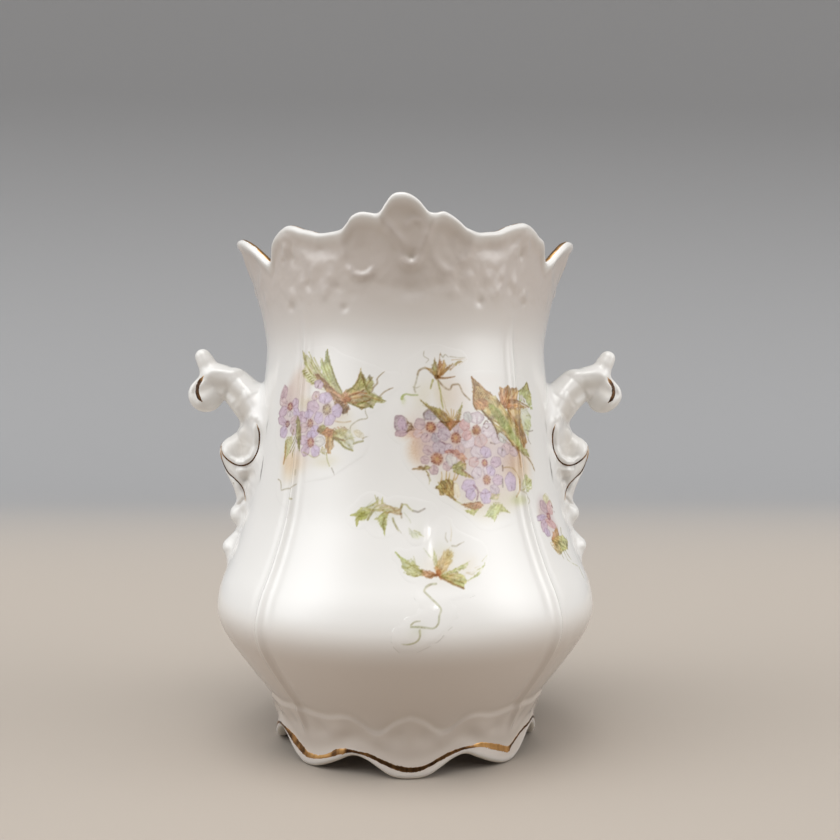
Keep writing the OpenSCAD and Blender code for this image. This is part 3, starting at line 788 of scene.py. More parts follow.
class Drawing:
    def __init__(self, s0, s1, z0, z1, seed):
        self.s0, self.z0 = s0, z0
        self.w, self.h = int((s1 - s0) / DOT) + 1, int((z1 - z0) / DOT) + 1
        self.ink = np.ones((self.h, self.w, 3))
        self.rng = np.random.default_rng(seed)

    def window(self, lo, hi):
        i0 = max(0, int((lo[0] - self.s0) / DOT) - 2); i1 = min(self.w, int((hi[0] - self.s0) / DOT) + 3)
        j0 = max(0, int((lo[1] - self.z0) / DOT) - 2); j1 = min(self.h, int((hi[1] - self.z0) / DOT) + 3)
        if i1 <= i0 or j1 <= j0:
            return None
        X, Y = np.meshgrid(self.s0 + np.arange(i0, i1) * DOT, self.z0 + np.arange(j0, j1) * DOT)
        return (slice(j0, j1), slice(i0, i1)), X, Y

    def lay(self, where, cover, colour, tint=0.0):
        """Paints colour with the given cover; tint 1 multiplies instead of covering."""
        c = np.asarray(colour, float)
        old = self.ink[where]
        a = cover[..., None]
        over = old * (1 - a) + c * a
        times = old * (1 - a + a * c)
        self.ink[where] = over * (1 - tint) + times * tint

    def wash(self, x, y, rx, ry, colour, strength=1.0, turn=0.0):
        r = max(rx, ry) * 2.6
        win = self.window((x - r, y - r), (x + r, y + r))
        if win is None:
            return
        where, X, Y = win
        c, s = math.cos(math.radians(turn)), math.sin(math.radians(turn))
        u, v = ((X - x) * c + (Y - y) * s) / rx, (-(X - x) * s + (Y - y) * c) / ry
        q = u * u + v * v
        f = np.exp(-q ** 1.15) * strength
        # the grain of a sprayed ground
        grain = noise(X * 7.0, Y * 7.0, 5) * 0.5 + noise(X * 15.0, Y * 15.0, 6) * 0.5
        f = f * (0.82 + 0.36 * grain)
        self.lay(where, np.clip(f, 0, 1), colour, tint=1.0)

    def line(self, pts, w0, w1, colour, alpha=1.0, wob=0.0, tint=0.35, swell=0.0):
        c = smooth_line(pts, 0.25) if len(pts) > 2 else np.asarray(pts, float)
        if len(pts) == 2:
            t = np.linspace(0, 1, max(3, int(np.hypot(*(c[1] - c[0])) / 0.3)))[:, None]
            c = c[0] * (1 - t) + c[1] * t
        n = len(c)
        if wob:
            c = c + self.rng.normal(0, wob, (n, 2)) * 0.6
        q = np.arange(n) / max(n - 1, 1)
        w = (w0 + (w1 - w0) * q) * 0.5 + swell * np.sin(np.pi * q)
        m = max(w.max(), 0.1) + 0.2
        win = self.window(c.min(0) - m, c.max(0) + m)
        if win is None:
            return
        where, X, Y = win
        best = np.full(X.shape, 9.0)
        for i in range(n - 1):
            ax, ay = c[i]; bx, by = c[i + 1]
            r = max(w[i], w[i + 1]) + 0.15
            # only the cells near this piece
            jx = (X[0] > min(ax, bx) - r) & (X[0] < max(ax, bx) + r)
            jy = (Y[:, 0] > min(ay, by) - r) & (Y[:, 0] < max(ay, by) + r)
            if not jx.any() or not jy.any():
                continue
            a0, a1 = np.nonzero(jx)[0][[0, -1]]; b0, b1 = np.nonzero(jy)[0][[0, -1]]
            sx, sy = X[b0:b1 + 1, a0:a1 + 1], Y[b0:b1 + 1, a0:a1 + 1]
            dd = (bx - ax) ** 2 + (by - ay) ** 2 + 1e-9
            t = np.clip(((sx - ax) * (bx - ax) + (sy - ay) * (by - ay)) / dd, 0, 1)
            d = np.hypot(sx - ax - t * (bx - ax), sy - ay - t * (by - ay)) - (w[i] + (w[i + 1] - w[i]) * t)
            view = best[b0:b1 + 1, a0:a1 + 1]
            np.minimum(view, d, out=view)
        cover = np.clip(0.5 - best / 0.16, 0, 1) * alpha
        cover = cover * np.clip(0.55 + 0.85 * noise(X * 1.4, Y * 1.4, 12), 0, 1)
        self.lay(where, cover, colour, tint)

    def shape(self, pts, n=0.22):
        p = np.asarray(pts, float)
        lo, hi = p.min(0) - 0.6, p.max(0) + 0.6
        win = self.window(lo, hi)
        if win is None:
            return None
        where, X, Y = win
        inside = np.zeros(X.shape, bool)
        dist = np.full(X.shape, 9.0)
        m = len(p)
        for i in range(m):
            (ax, ay), (bx, by) = p[i], p[(i + 1) % m]
            if ay != by:
                cross = ((ay > Y) != (by > Y)) & (X < (bx - ax) * (Y - ay) / (by - ay) + ax)
                inside ^= cross
            dd = (bx - ax) ** 2 + (by - ay) ** 2 + 1e-9
            t = np.clip(((X - ax) * (bx - ax) + (Y - ay) * (by - ay)) / dd, 0, 1)
            np.minimum(dist, np.hypot(X - ax - t * (bx - ax), Y - ay - t * (by - ay)), out=dist)
        return where, X, Y, np.where(inside, dist, -dist)

    def leaf(self, pts, c_root, c_tip, c_edge=(0.66, 0.56, 0.38), alpha=0.9, root=None, tip=None, ribs=6, mottle=0.5, edge=0.55):
        got = self.shape(pts)
        if got is None:
            return
        where, X, Y, d = got
        p = np.asarray(pts, float)
        root = np.asarray(root if root is not None else p[0], float)
        tip = np.asarray(tip if tip is not None else p[len(p) // 2], float)
        ax = tip - root
        L = math.hypot(*ax) + 1e-6
        u = ((X - root[0]) * ax[0] + (Y - root[1]) * ax[1]) / L / L
        v = (-(X - root[0]) * ax[1] + (Y - root[1]) * ax[0]) / L
        s = int(L * 31)
        # a torn, brushy edge
        d = d + (noise(X * 2.2, Y * 2.2, s) - 0.5) * 0.40 + (noise(X * 5.5, Y * 5.5, s + 1) - 0.5) * 0.26
        patch = noise(X * 0.9, Y * 0.9, s + 2)
        k = ease(u + (patch - 0.5) * 0.7)[..., None]
        col = np.asarray(c_root) * (1 - k) + np.asarray(c_tip) * k
        # brush strokes that run out from the root and bend to the sides
        across = v / (0.25 * L + 0.4 * np.abs(u) * L + 0.4)
        s1 = noise(u * L * 0.7 + 11, across * 5.0, s + 3) - 0.5
        s2 = noise(u * L * 1.3, across * 11.0, s + 4) - 0.5
        col = col * (1 + (0.5 + mottle) * (0.26 * s1 + 0.22 * s2))[..., None]
        pale = np.clip((s2 - 0.12) * 4.5, 0, 1)[..., None] * 0.45
        col = col * (1 - pale) + (np.asarray(c_tip) * 0.4 + np.array([0.96, 0.93, 0.78]) * 0.6) * pale
        dark = np.clip((-s1 - 0.16) * 4.0, 0, 1)[..., None] * 0.45
        col = col * (1 - dark) + np.asarray(c_edge) * dark
        cover = np.clip(0.45 + d / 0.30, 0, 1) * alpha * np.clip(0.72 + 0.45 * patch, 0, 1)
        self.lay(where, cover, np.clip(col, 0, 1), 0.2)
        rim = np.clip(0.5 + d / 0.2, 0, 1) * np.exp(-(d / 0.2) ** 2) * edge
        rim *= 0.25 + 0.9 * noise(X * 1.6, Y * 1.6, 7)
        self.lay(where, np.clip(rim, 0, 1), c_edge, 0.35)
        nrm = np.array([-ax[1], ax[0]]) / L
        if ribs:
            self.line([root, (root + tip) / 2 + self.rng.normal(0, 0.1, 2), tip], 0.24, 0.08, c_edge, 0.6)
            for i in range(ribs):
                t = 0.12 + 0.75 * (i + 0.5) / ribs
                base = root + ax * t
                for side in (1, -1):
                    far = base + nrm * side * L * 0.16 * (1.1 - t) + ax * 0.13
                    self.line([base, far], 0.14, 0.05, c_edge, 0.45)
        # spikes past the points of the outline
        for q in p:
            t = ((q - root) @ ax) / L / L
            side = ((q - root) @ nrm)
            if t < 0.12:
                continue
            base = root + ax * max(0.0, t - 0.28) + nrm * side * 0.3
            out = q - base
            m = math.hypot(*out)
            if m < 0.25:
                continue
            far = q + out / m * self.rng.uniform(0.15, 0.5)
            self.line([base, (base + far) / 2 + nrm * side * 0.06, far], 0.26, 0.06, c_edge if self.rng.random() < 0.55 else c_root, 0.5)

    def petal(self, x, y, rx, ry, turn, fill=(0.90, 0.83, 0.91), edge=(0.70, 0.60, 0.70), deep=0.5, notch=0.0, veins=5, alpha=0.95, inner=None):
        """One petal. Turn is the way its outer end points; rx is along it."""
        r = max(rx, ry) + 0.3
        win = self.window((x - r, y - r), (x + r, y + r))
        if win is None:
            return
        where, X, Y = win
        c, s = math.cos(math.radians(turn)), math.sin(math.radians(turn))
        u, v = ((X - x) * c + (Y - y) * s) / rx, (-(X - x) * s + (Y - y) * c) / ry
        q = np.hypot(u, v)
        th = np.arctan2(v, u)
        lim = 1 - notch * np.exp(-(th / 0.28) ** 2) + 0.05 * np.sin(5 * th + x * 7)
        d = (lim - q) * min(rx, ry)
        cover = np.clip(0.5 + d / 0.16, 0, 1)
        f = np.asarray(fill, float); e = np.asarray(edge, float)
        shade = np.clip(1 - d / (0.55 * min(rx, ry)), 0, 1) ** 1.6 * deep
        grain = noise(X * 8, Y * 8, 9) - 0.5
        col = f * (1 - shade[..., None]) + (f * 0.35 + e * 0.65) * shade[..., None]
        col = col * (1 + 0.10 * grain)[..., None]
        cloud = noise(X * 1.1 + 5, Y * 1.1, 14) - 0.5
        col = col * (1 + 0.09 * cloud)[..., None]
        self.lay(where, cover * alpha, np.clip(col, 0, 1), 0.08)
        rim = cover * np.exp(-(d / 0.10) ** 2) * (0.4 + 0.6 * noise(X * 2.5, Y * 2.5, 3)) * (0.45 + 0.55 * (u > -0.2))
        self.lay(where, np.clip(rim * 0.75, 0, 1), edge, 0.3)
        if inner is not None:
            g = np.exp(-(((u + 0.9) / 0.55) ** 2 + (v / 0.6) ** 2)) * cover * 0.75
            self.lay(where, g, inner, 0.4)
        for k in range(veins):
            t = (k - (veins - 1) / 2) * 0.32 + self.rng.normal(0, 0.05)
            a0 = np.array([x, y]) - np.array([c, s]) * rx * 0.75
            a1 = np.array([x + (c * math.cos(t) - s * math.sin(t)) * rx * 0.62,
                           y + (s * math.cos(t) + c * math.sin(t)) * rx * 0.62 * (ry / rx) ** 0.3])
            self.line([a0, a1], 0.09, 0.04, edge, 0.32, tint=0.6)

    def heart(self, x, y, r, dark=(0.62, 0.42, 0.36), mid=(0.90, 0.70, 0.54), n=9):
        win = self.window((x - r * 2, y - r * 2), (x + r * 2, y + r * 2))
        if win is None:
            return
        where, X, Y = win
        q = np.hypot(X - x, Y - y) / r
        self.lay(where, np.clip(np.exp(-(q / 1.05) ** 4) * 0.9, 0, 1), mid, 0.15)
        self.lay(where, np.clip(np.exp(-((q - 0.85) / 0.35) ** 2) * 0.45, 0, 1), dark, 0.3)
        self.lay(where, np.clip(np.exp(-(q / 0.3) ** 2) * 0.5, 0, 1), (0.80, 0.74, 0.46), 0.2)
        for k in range(n):
            t = 2 * math.pi * (k + self.rng.uniform(-0.25, 0.25)) / n
            rr = r * self.rng.uniform(0.75, 1.15)
            px, py = x + rr * math.cos(t), y + rr * math.sin(t)
            self.line([[x + 0.3 * r * math.cos(t), y + 0.3 * r * math.sin(t)], [px, py]], 0.07, 0.06, dark, 0.6)
            self.dot(px, py, self.rng.uniform(0.11, 0.17), dark, 0.9)

    def dot(self, x, y, r, colour, alpha=1.0):
        win = self.window((x - r - 0.1, y - r - 0.1), (x + r + 0.1, y + r + 0.1))
        if win is None:
            return
        where, X, Y = win
        d = r - np.hypot(X - x, Y - y)
        self.lay(where, np.clip(0.5 + d / 0.08, 0, 1) * alpha, colour, 0.2)

    def flower(self, x, y, r, turn, tone=0, squash=1.0, tilt=0.0, heart=True):
        fills = [(0.885, 0.825, 0.905), (0.865, 0.84, 0.92), (0.91, 0.86, 0.885), (0.935, 0.92, 0.925)]
        edges = [(0.60, 0.48, 0.62), (0.55, 0.51, 0.65), (0.62, 0.48, 0.54), (0.61, 0.56, 0.61)]
        order = self.rng.permutation(5)
        ct, st = math.cos(math.radians(tilt)), math.sin(math.radians(tilt))
        for k in order:
            a = math.radians(turn + 72 * k + self.rng.normal(0, 4))
            dx, dy = math.cos(a) * 0.56 * r, math.sin(a) * 0.56 * r
            # squash shortens the flower across its tilt
            u, v = dx * ct + dy * st, (-dx * st + dy * ct) * squash
            ex, ey = u * ct - v * st, u * st + v * ct
            ang = math.degrees(math.atan2(ey, ex))
            t = (tone + int(self.rng.integers(0, 2))) % 4
            size = r * self.rng.uniform(0.44, 0.5)
            fore = math.hypot(ex, ey) / (0.56 * r)
            self.petal(x + ex, y + ey, size * (0.45 + 0.55 * fore), size * 0.98, ang, fills[t], edges[t],
                       deep=0.62, notch=0.10, veins=5, inner=(0.86, 0.72, 0.74))
        if heart:
            self.heart(x, y, r * 0.235)

    def sample(self, s, z):
        u = np.clip((s - self.s0) / DOT, 0, self.w - 1.001)
        v = np.clip((z - self.z0) / DOT, 0, self.h - 1.001)
        i, j = u.astype(int), v.astype(int)
        fu, fv = (u - i)[..., None], (v - j)[..., None]
        I = self.soft
        return ((I[j, i] * (1 - fu) + I[j, i + 1] * fu) * (1 - fv) + (I[j + 1, i] * (1 - fu) + I[j + 1, i + 1] * fu) * fv)

    def finish(self):
        """A light halftone grain, then softened to the spacing of the sheet's points."""
        j, i = np.mgrid[0:self.h, 0:self.w]
        strength = 1 - self.ink.min(-1)
        grain = noise(i * 0.31, j * 0.31, 31) - 0.5
        self.ink = np.clip(self.ink + (grain * 0.05 * np.clip(strength * 3, 0, 1))[..., None], 0, 1)
        # the stipple a printed colour is built from: short dark and pale flecks
        fleck = noise(i * 0.17, j * 0.17, 57) - 0.5
        fine = noise(i * 0.24 + 40, j * 0.24, 58) - 0.5
        deep = np.clip((1 - self.ink.max(-1) - 0.07) * 7, 0, 1)
        shade = np.clip((fleck - 0.17) * 6, 0, 1) * 0.10 + np.clip((fine - 0.2) * 6, 0, 1) * 0.06
        light = np.clip((-fleck - 0.19) * 6, 0, 1) * 0.07
        tone = (shade[..., None] * np.array([0.9, 1.1, 1.0]) - light[..., None]) * deep[..., None]
        self.ink = np.clip(self.ink - tone, 0, 1)
        I = self.ink
        for _ in range(2):
            I = (I + np.roll(I, 1, 0) + np.roll(I, -1, 0)) / 3
            I = (I + np.roll(I, 1, 1) + np.roll(I, -1, 1)) / 3
        self.soft = I


# ------------------------------------------------------ the sprays of flowers
#
# Places are in millimetres: across the print, and the height on the vase.

PEACH = (0.955, 0.86, 0.76)
SALMON = (0.95, 0.82, 0.78)
BLUSH = (0.955, 0.90, 0.86)
STRAW = (0.945, 0.925, 0.84)
CREAM = (0.975, 0.935, 0.865)
CREAMW = (1.02, 0.98, 0.90)
APRICOT = (0.95, 0.85, 0.72)
HAZE = (0.90, 0.84, 0.85)
MIST = (0.91, 0.92, 0.86)
MISTG = (0.85, 0.865, 0.77)
LIME = (0.85, 0.88, 0.67)
LIMEL = (0.92, 0.91, 0.76)
LIMED = (0.80, 0.815, 0.51)
STRAWD = (0.87, 0.81, 0.68)
TAN = (0.81, 0.71, 0.56)
GOLD = (0.82, 0.69, 0.44)
BROWN = (0.75, 0.59, 0.38)
RUST = (0.79, 0.56, 0.38)
RUSTP = (0.85, 0.67, 0.52)
UMBER = (0.62, 0.47, 0.30)
DARK = (0.50, 0.38, 0.24)
DARKP = (0.55, 0.45, 0.40)
SEPIA = (0.66, 0.58, 0.45)
TWIG = (0.74, 0.71, 0.62)
TWIGD = (0.62, 0.58, 0.53)
OLIVE = (0.74, 0.725, 0.46)
OLIVED = (0.60, 0.575, 0.34)
GREEN = (0.68, 0.73, 0.43)
GREENL = (0.79, 0.84, 0.58)
GREEND = (0.56, 0.60, 0.35)
LILAC = (0.89, 0.81, 0.88)
LILACB = (0.87, 0.82, 0.86)
LILACV = (0.88, 0.82, 0.92)
LILACW = (0.94, 0.90, 0.93)
VIOLET = (0.86, 0.80, 0.91)
HAZEB = (0.83, 0.78, 0.80)
HAZEP = (0.90, 0.82, 0.83)
MAUVE = (0.86, 0.77, 0.80)
MAUVED = (0.68, 0.58, 0.62)
PLUM = (0.62, 0.48, 0.52)
SLATE = (0.80, 0.77, 0.80)
MISTB = (0.90, 0.91, 0.90)
PEARL = (0.93, 0.92, 0.91)
ROSE = (0.92, 0.79, 0.80)
ROSED = (0.80, 0.58, 0.53)
SALMOND = (0.86, 0.68, 0.56)


def draw_left_bouquet(d):
    d.wash(-11.1, 84, 6.7, 3.9, BLUSH, 0.8)
    d.wash(-12.8, 87.7, 6.3, 2.1, BLUSH, 0.5)
    d.wash(-8.8, 80.4, 2.2, 1.7, STRAW, 0.8)
    d.wash(-13.1, 67.8, 4.5, 2.6, APRICOT, 0.8)
    d.wash(-13.5, 64.7, 4.9, 2.1, CREAM, 0.7)
    d.wash(-2.1, 67.7, 3.8, 1.5, STRAW, 0.7)
    d.wash(-3.1, 78.9, 5.3, 3.9, HAZE, 0.7)
    d.wash(-7.5, 74.2, 4.3, 4.7, HAZE, 0.85)
    d.wash(-15.3, 79.7, 3.7, 5.6, HAZE, 0.85)
    d.wash(1.7, 74.1, 3.5, 2.6, STRAW, 0.75)
    d.wash(1.3, 77.9, 2.6, 1.3, STRAW, 0.6)
    d.leaf([(1.1, 80.5), (-1.1, 82), (-3.1, 83.6), (-5.5, 84.8), (-7.3, 84.5), (-9, 85.5), (-10.3, 87.3), (-9.5, 88.9), (-10.3, 90.7), (-10.8, 92.6), (-9.1, 91.1), (-7.4, 89.8), (-5.1, 87.5), (-3, 85.2), (-0.6, 82.9)], TAN, LIME, OLIVE, 0.7, root=(0.3, 80.9), tip=(-10, 90.7), ribs=0)
    d.leaf([(1.8, 81.7), (0, 82.2), (-2, 83.8), (-3.6, 85.8), (-4.9, 88.3), (-5.1, 90.2), (-4.1, 89.1), (-3.6, 90.7), (-3.2, 91.9), (-2.3, 89.3), (-1.1, 86.4), (0.6, 83.7)], OLIVE, GREENL, OLIVED, 0.85, root=(1.3, 82.2), tip=(-3.6, 90.2), ribs=0)
    d.line([(-10.6, 92.3), (-9.6, 90.2), (-8.7, 88.3), (-7.5, 86.9)], 0.37, 0.24, OLIVE, 0.7)
    d.line([(-8.8, 91.9), (-7.4, 89.8), (-5.8, 87.9), (-4.2, 86.1)], 0.37, 0.24, OLIVE, 0.7)
    d.line([(-8, 89.6), (-6.6, 87.8), (-5, 86.1), (-3.2, 84.5)], 0.37, 0.24, OLIVE, 0.7)
    d.line([(-7.1, 90.5), (-6.1, 89.1), (-4.8, 87.4)], 0.37, 0.24, OLIVE, 0.7)
    d.line([(-9.7, 89.5), (-8.2, 87.6), (-6.2, 86)], 0.37, 0.24, OLIVE, 0.7)
    d.line([(-4.7, 90.1), (-3.8, 88), (-2.7, 86)], 0.37, 0.24, OLIVE, 0.7)
    d.line([(-3.6, 90.4), (-2.9, 88.2), (-1.6, 85.7)], 0.37, 0.24, OLIVE, 0.7)
    d.line([(-4, 88.5), (-3.1, 86.7), (-1.8, 84.9)], 0.37, 0.24, OLIVE, 0.7)
    d.line([(-3.2, 91.9), (-3, 90.2), (-2.2, 88.6), (-1.1, 86.4), (-0.2, 84.6), (0.9, 83)], 0.39, 0.39, OLIVED, 0.8)
    d.line([(-3.5, 91.5), (-3.1, 89.5)], 0.56, 0.52, GREEND, 0.6)
    d.line([(-10.2, 87.6), (-9.4, 87.8)], 0.34, 0.21, OLIVED, 0.7)
    d.line([(-9.7, 87.1), (-8.9, 87.4)], 0.34, 0.21, OLIVED, 0.7)
    d.line([(-9.1, 86.6), (-8.3, 86.9)], 0.34, 0.21, OLIVED, 0.7)
    d.line([(-8.6, 86.2), (-7.8, 86.4)], 0.34, 0.21, OLIVED, 0.7)
    d.line([(-8, 85.7), (-7.3, 86)], 0.34, 0.21, OLIVED, 0.7)
    d.line([(-7.5, 85.3), (-6.7, 85.5)], 0.34, 0.21, OLIVED, 0.7)
    d.line([(-7, 84.8), (-6.2, 85.1)], 0.34, 0.21, OLIVED, 0.7)
    d.line([(-10.1, 87.8), (-9.2, 86.4), (-7.7, 85.2), (-6.4, 84.7)], 0.34, 0.3, OLIVE, 0.7)
    d.leaf([(2.7, 80), (0.6, 80.1), (-1, 81.2), (-2.8, 82.8), (-4.9, 84.8), (-6.6, 86.6), (-5.7, 86.7), (-3.8, 85.6), (-2.1, 84.2), (-0.1, 82.7), (2.3, 81.5)], RUST, BROWN, UMBER, 0.9, root=(2.1, 80.7), tip=(-5.7, 86.4), ribs=0, mottle=1.2)
    d.line([(-6.3, 86.7), (-5.4, 86.6), (-4.7, 85.9), (-2.9, 84.7)], 0.43, 0.39, UMBER, 0.7)
    d.line([(1.8, 81.7), (-0.3, 82.7), (-2.3, 84)], 0.32, 0.21, UMBER, 0.6)
    d.line([(1.8, 81.1), (0, 81.6), (-1.7, 82.7)], 0.32, 0.21, UMBER, 0.6)
    d.line([(2.4, 80.4), (0.8, 80.7), (-0.8, 81.4)], 0.32, 0.21, UMBER, 0.6)
    d.line([(1.6, 81.5), (0.2, 82.4), (-1.2, 83.6)], 0.26, 0.17, CREAMW, 0.55)
    d.leaf([(2.9, 79.8), (3.5, 78.9), (2.8, 78.1), (1.8, 78), (0.7, 79), (-0.5, 79.9), (-0.7, 81), (1.1, 80.5)], UMBER, DARK, DARK, 0.9, root=(2.4, 80), tip=(1, 78.5), ribs=0, mottle=1.2)
    d.leaf([(1, 81.8), (2.2, 83), (3.9, 83.6), (4.8, 84.6), (5.2, 85.9), (5.6, 87.5), (6.3, 85.9), (7, 84.6), (7.5, 85.8), (8.3, 85.4), (8.5, 83.9), (8.1, 82.4), (9.3, 81.5), (10.3, 81.3), (11.4, 80.4), (9.3, 80.2), (8.7, 79.1), (7.6, 79.5), (6.3, 78.7), (4.9, 79.5), (3.4, 80.2), (1.6, 80.7)], RUST, OLIVE, OLIVED, 0.8, root=(1.8, 81.1), tip=(8.3, 83.3), ribs=0, mottle=1.2)
    d.leaf([(2.2, 82.8), (3.9, 83.4), (5, 84.6), (5.6, 86.5), (6.4, 85.2), (6.9, 83.9), (5.6, 82.9), (3.7, 82.3)], OLIVE, OLIVE, OLIVED, 0.6, ribs=0, edge=0.3)
    d.line([(2.1, 81.3), (3.8, 82.1), (5.6, 82.3), (7.2, 82.1)], 0.43, 0.28, RUST, 0.72)
    d.line([(2.1, 80.9), (4.8, 81.2), (7.1, 81.5), (8.6, 81.1), (10.2, 80.6)], 0.43, 0.28, BROWN, 0.72)
    d.line([(2.4, 80.5), (4.6, 80.2), (6.4, 80.3), (8, 80.7)], 0.43, 0.28, BROWN, 0.72)
    d.line([(2.9, 80.3), (4.9, 79.6), (6.5, 79.1), (7.8, 79.3)], 0.43, 0.28, OLIVED, 0.72)
    d.line([(3.3, 81.7), (4.9, 82.1), (6.5, 82.9)], 0.43, 0.28, UMBER, 0.72)
    d.line([(3.8, 80.9), (6.2, 80.8), (8.4, 81.6)], 0.43, 0.28, STRAWD, 0.72)
    d.line([(2.5, 82.6), (3.9, 83.4), (5, 84.8), (5.6, 86.7)], 0.43, 0.28, OLIVED, 0.72)
    d.line([(5.3, 79.9), (6.7, 80.2), (7.8, 79.8), (8.7, 79)], 0.43, 0.28, GREEND, 0.72)
    d.line([(6.4, 85.2), (7, 83.3), (7.9, 82)], 0.43, 0.28, OLIVED, 0.72)
    d.line([(5.9, 86.1), (6.4, 84.4)], 0.43, 0.28, UMBER, 0.72)
    d.line([(6.1, 85.9), (6.7, 84.1)], 0.69, 0.43, OLIVED, 0.5)
    d.line([(7.6, 85.8), (7.8, 85)], 0.56, 0.43, TWIGD, 0.7)
    d.petal(2.6, 81, 1.1, 0.6, 0, RUST, UMBER, 0.6)
    d.line([(9.3, 80.3), (10.8, 80.1), (11.8, 80.5)], 0.39, 0.21, OLIVE, 0.55)
    d.line([(8.3, 82.4), (8.7, 83.5), (9.4, 84.2), (9.3, 85.1), (9.9, 85.9), (10.9, 86.8)], 0.43, 0.26, SEPIA, 0.65)
    d.line([(9.9, 81.3), (10.9, 82.3), (11.9, 82.9), (12.7, 83.2)], 0.43, 0.3, SEPIA, 0.65)
    d.line([(7, 79.1), (7.2, 78), (7.6, 76.9), (5.9, 76.6), (4.6, 75.9), (3.8, 75.1), (3.8, 73.9)], 0.37, 0.26, TWIG, 0.65)
    d.line([(-1, 76.7), (0.3, 76.3), (2.1, 76.1), (3.8, 76.3)], 0.34, 0.3, TAN, 0.75)
    d.petal(-5.2, 84.5, 1, 1.4, 75, LILAC, MAUVED, 0.55)
    d.dot(-5.4, 84.1, 0.24, TWIGD, 0.6)
    d.petal(-5.9, 82, 1, 1.2, 130, HAZEP, MAUVED, 0.55)
    d.dot(-5.8, 81.9, 0.26, TAN, 0.7)
    d.petal(-6.6, 79.6, 1.9, 1.5, 170, LILAC, MAUVED, 0.5)
    d.petal(-3.1, 81.4, 1.3, 1.9, 85, LILACV, MAUVED, 0.5)
    d.petal(0.2, 78.6, 1.4, 1.5, 10, VIOLET, MAUVED, 0.45)
    d.petal(-1.6, 76.7, 1.2, 1.6, -65, LILACV, MAUVED, 0.5)
    d.petal(-4.7, 77.2, 1.3, 1.4, -135, LILACV, MAUVED, 0.5)
    d.heart(-2.5, 79, 1.07, dark=(0.55, 0.44, 0.38), mid=(0.9, 0.84, 0.7), n=10)
    d.petal(-9.6, 77.5, 1.6, 1.2, 160, LILAC, MAUVED, 0.5)
    d.petal(-9.2, 75.1, 1.7, 1.1, -165, HAZEP, MAUVED, 0.5)
    d.petal(-5.7, 74.4, 1.3, 1.4, -55, VIOLET, MAUVED, 0.45)
    d.petal(-7.7, 78.1, 1, 1.4, 95, LILACV, MAUVED, 0.5)
    d.heart(-7.1, 76.1, 0.82, dark=(0.58, 0.42, 0.4), mid=(0.92, 0.78, 0.7), n=8)
    d.petal(-9.2, 72.4, 1.8, 1.1, 175, LILAC, MAUVED, 0.5)
    d.petal(-6.6, 73.6, 0.9, 1.5, 90, VIOLET, MAUVED, 0.4)
    d.petal(-5.2, 70, 1.3, 1.3, -50, LILACV, MAUVED, 0.5)
    d.petal(-8.2, 70.2, 1.4, 1.3, -135, LILAC, MAUVED, 0.5)
    d.petal(-4.1, 72.1, 1.5, 1.1, 0, PEARL, TWIGD, 0.45)
    d.heart(-6.7, 71.9, 0.9, dark=(0.6, 0.38, 0.34), mid=(0.93, 0.76, 0.68), n=9)
    d.petal(-16.8, 83.4, 1.7, 1.6, 100, MAUVE, MAUVED, 0.6)
    d.petal(-16.6, 81.1, 1.6, 1.1, 160, HAZEP, MAUVED, 0.5)
    d.petal(-12.2, 80.5, 1.3, 1.3, 45, LILAC, MAUVED, 0.55)
    d.petal(-16.5, 78.9, 1.7, 1.2, -155, LILAC, MAUVED, 0.5)
    d.petal(-11.6, 78.5, 1.4, 1.1, -30, LILACV, MAUVED, 0.5)
    d.heart(-14, 80, 0.86, dark=(0.58, 0.38, 0.38), mid=(0.93, 0.78, 0.72), n=9)
    d.petal(-16.7, 76.8, 1.7, 1, 160, LILAC, MAUVED, 0.55)
    d.petal(-12.2, 76.9, 1.5, 1, 20, HAZEP, MAUVED, 0.5)
    d.petal(-15.9, 74.3, 1.4, 1.4, -135, LILACV, MAUVED, 0.5)
    d.petal(-12.4, 74.7, 1.3, 1.1, -35, HAZEP, MAUVED, 0.5)
    d.heart(-14.6, 76.1, 0.69, dark=(0.55, 0.4, 0.42), mid=(0.9, 0.8, 0.78), n=8)
    d.petal(-13.9, 78.3, 0.7, 1, 90, LILACW, TWIGD, 0.5)
    d.leaf([(-11.3, 78), (-10.4, 77.3), (-9.9, 75.1), (-9.7, 72.4), (-10, 70.2), (-10.7, 72.2), (-11.3, 74.7), (-11.6, 76.7)], OLIVED, GREEND, OLIVED, 0.8, root=(-10.9, 77.6), tip=(-10, 70.5), ribs=0)
    d.leaf([(-14.7, 72.9), (-12.7, 73.1), (-12.9, 71.4), (-13.5, 69.8), (-14.6, 68.2), (-15.3, 70.5)], OLIVE, LIME, OLIVE, 0.75, ribs=0)
    d.line([(-11, 74.5), (-11.9, 72.9), (-13.1, 70.9)], 0.32, 0.21, OLIVED, 0.65)
    d.line([(-11, 73.1), (-12.1, 71.4), (-13.3, 69.6)], 0.32, 0.21, OLIVED, 0.65)
    d.line([(-12.5, 74.7), (-12.9, 73.1)], 0.32, 0.21, OLIVED, 0.65)
    d.line([(-11.4, 71.1), (-12.3, 69.8), (-12.3, 68.7)], 0.32, 0.21, OLIVED, 0.65)
    d.line([(-12.5, 72.5), (-13.4, 70.7), (-14, 69.1)], 0.43, 0.3, LIMEL, 0.5)
    d.line([(-14.8, 71.6), (-14.8, 69.4), (-15.2, 67.2)], 0.43, 0.52, BROWN, 0.75)
    d.leaf([(-5, 74.4), (-4.3, 75.4), (-3.3, 75.7), (-2.4, 75), (-1.9, 73.8), (-3.6, 73.6)], UMBER, OLIVE, OLIVED, 0.9, ribs=0)
    d.leaf([(-3.9, 73.9), (-2.3, 75), (-0.5, 74.7), (0.5, 73.7), (-0.8, 72.8), (-2.4, 73)], RUST, RUST, UMBER, 0.9, root=(-3, 73.9), tip=(0.2, 73.9), ribs=3)
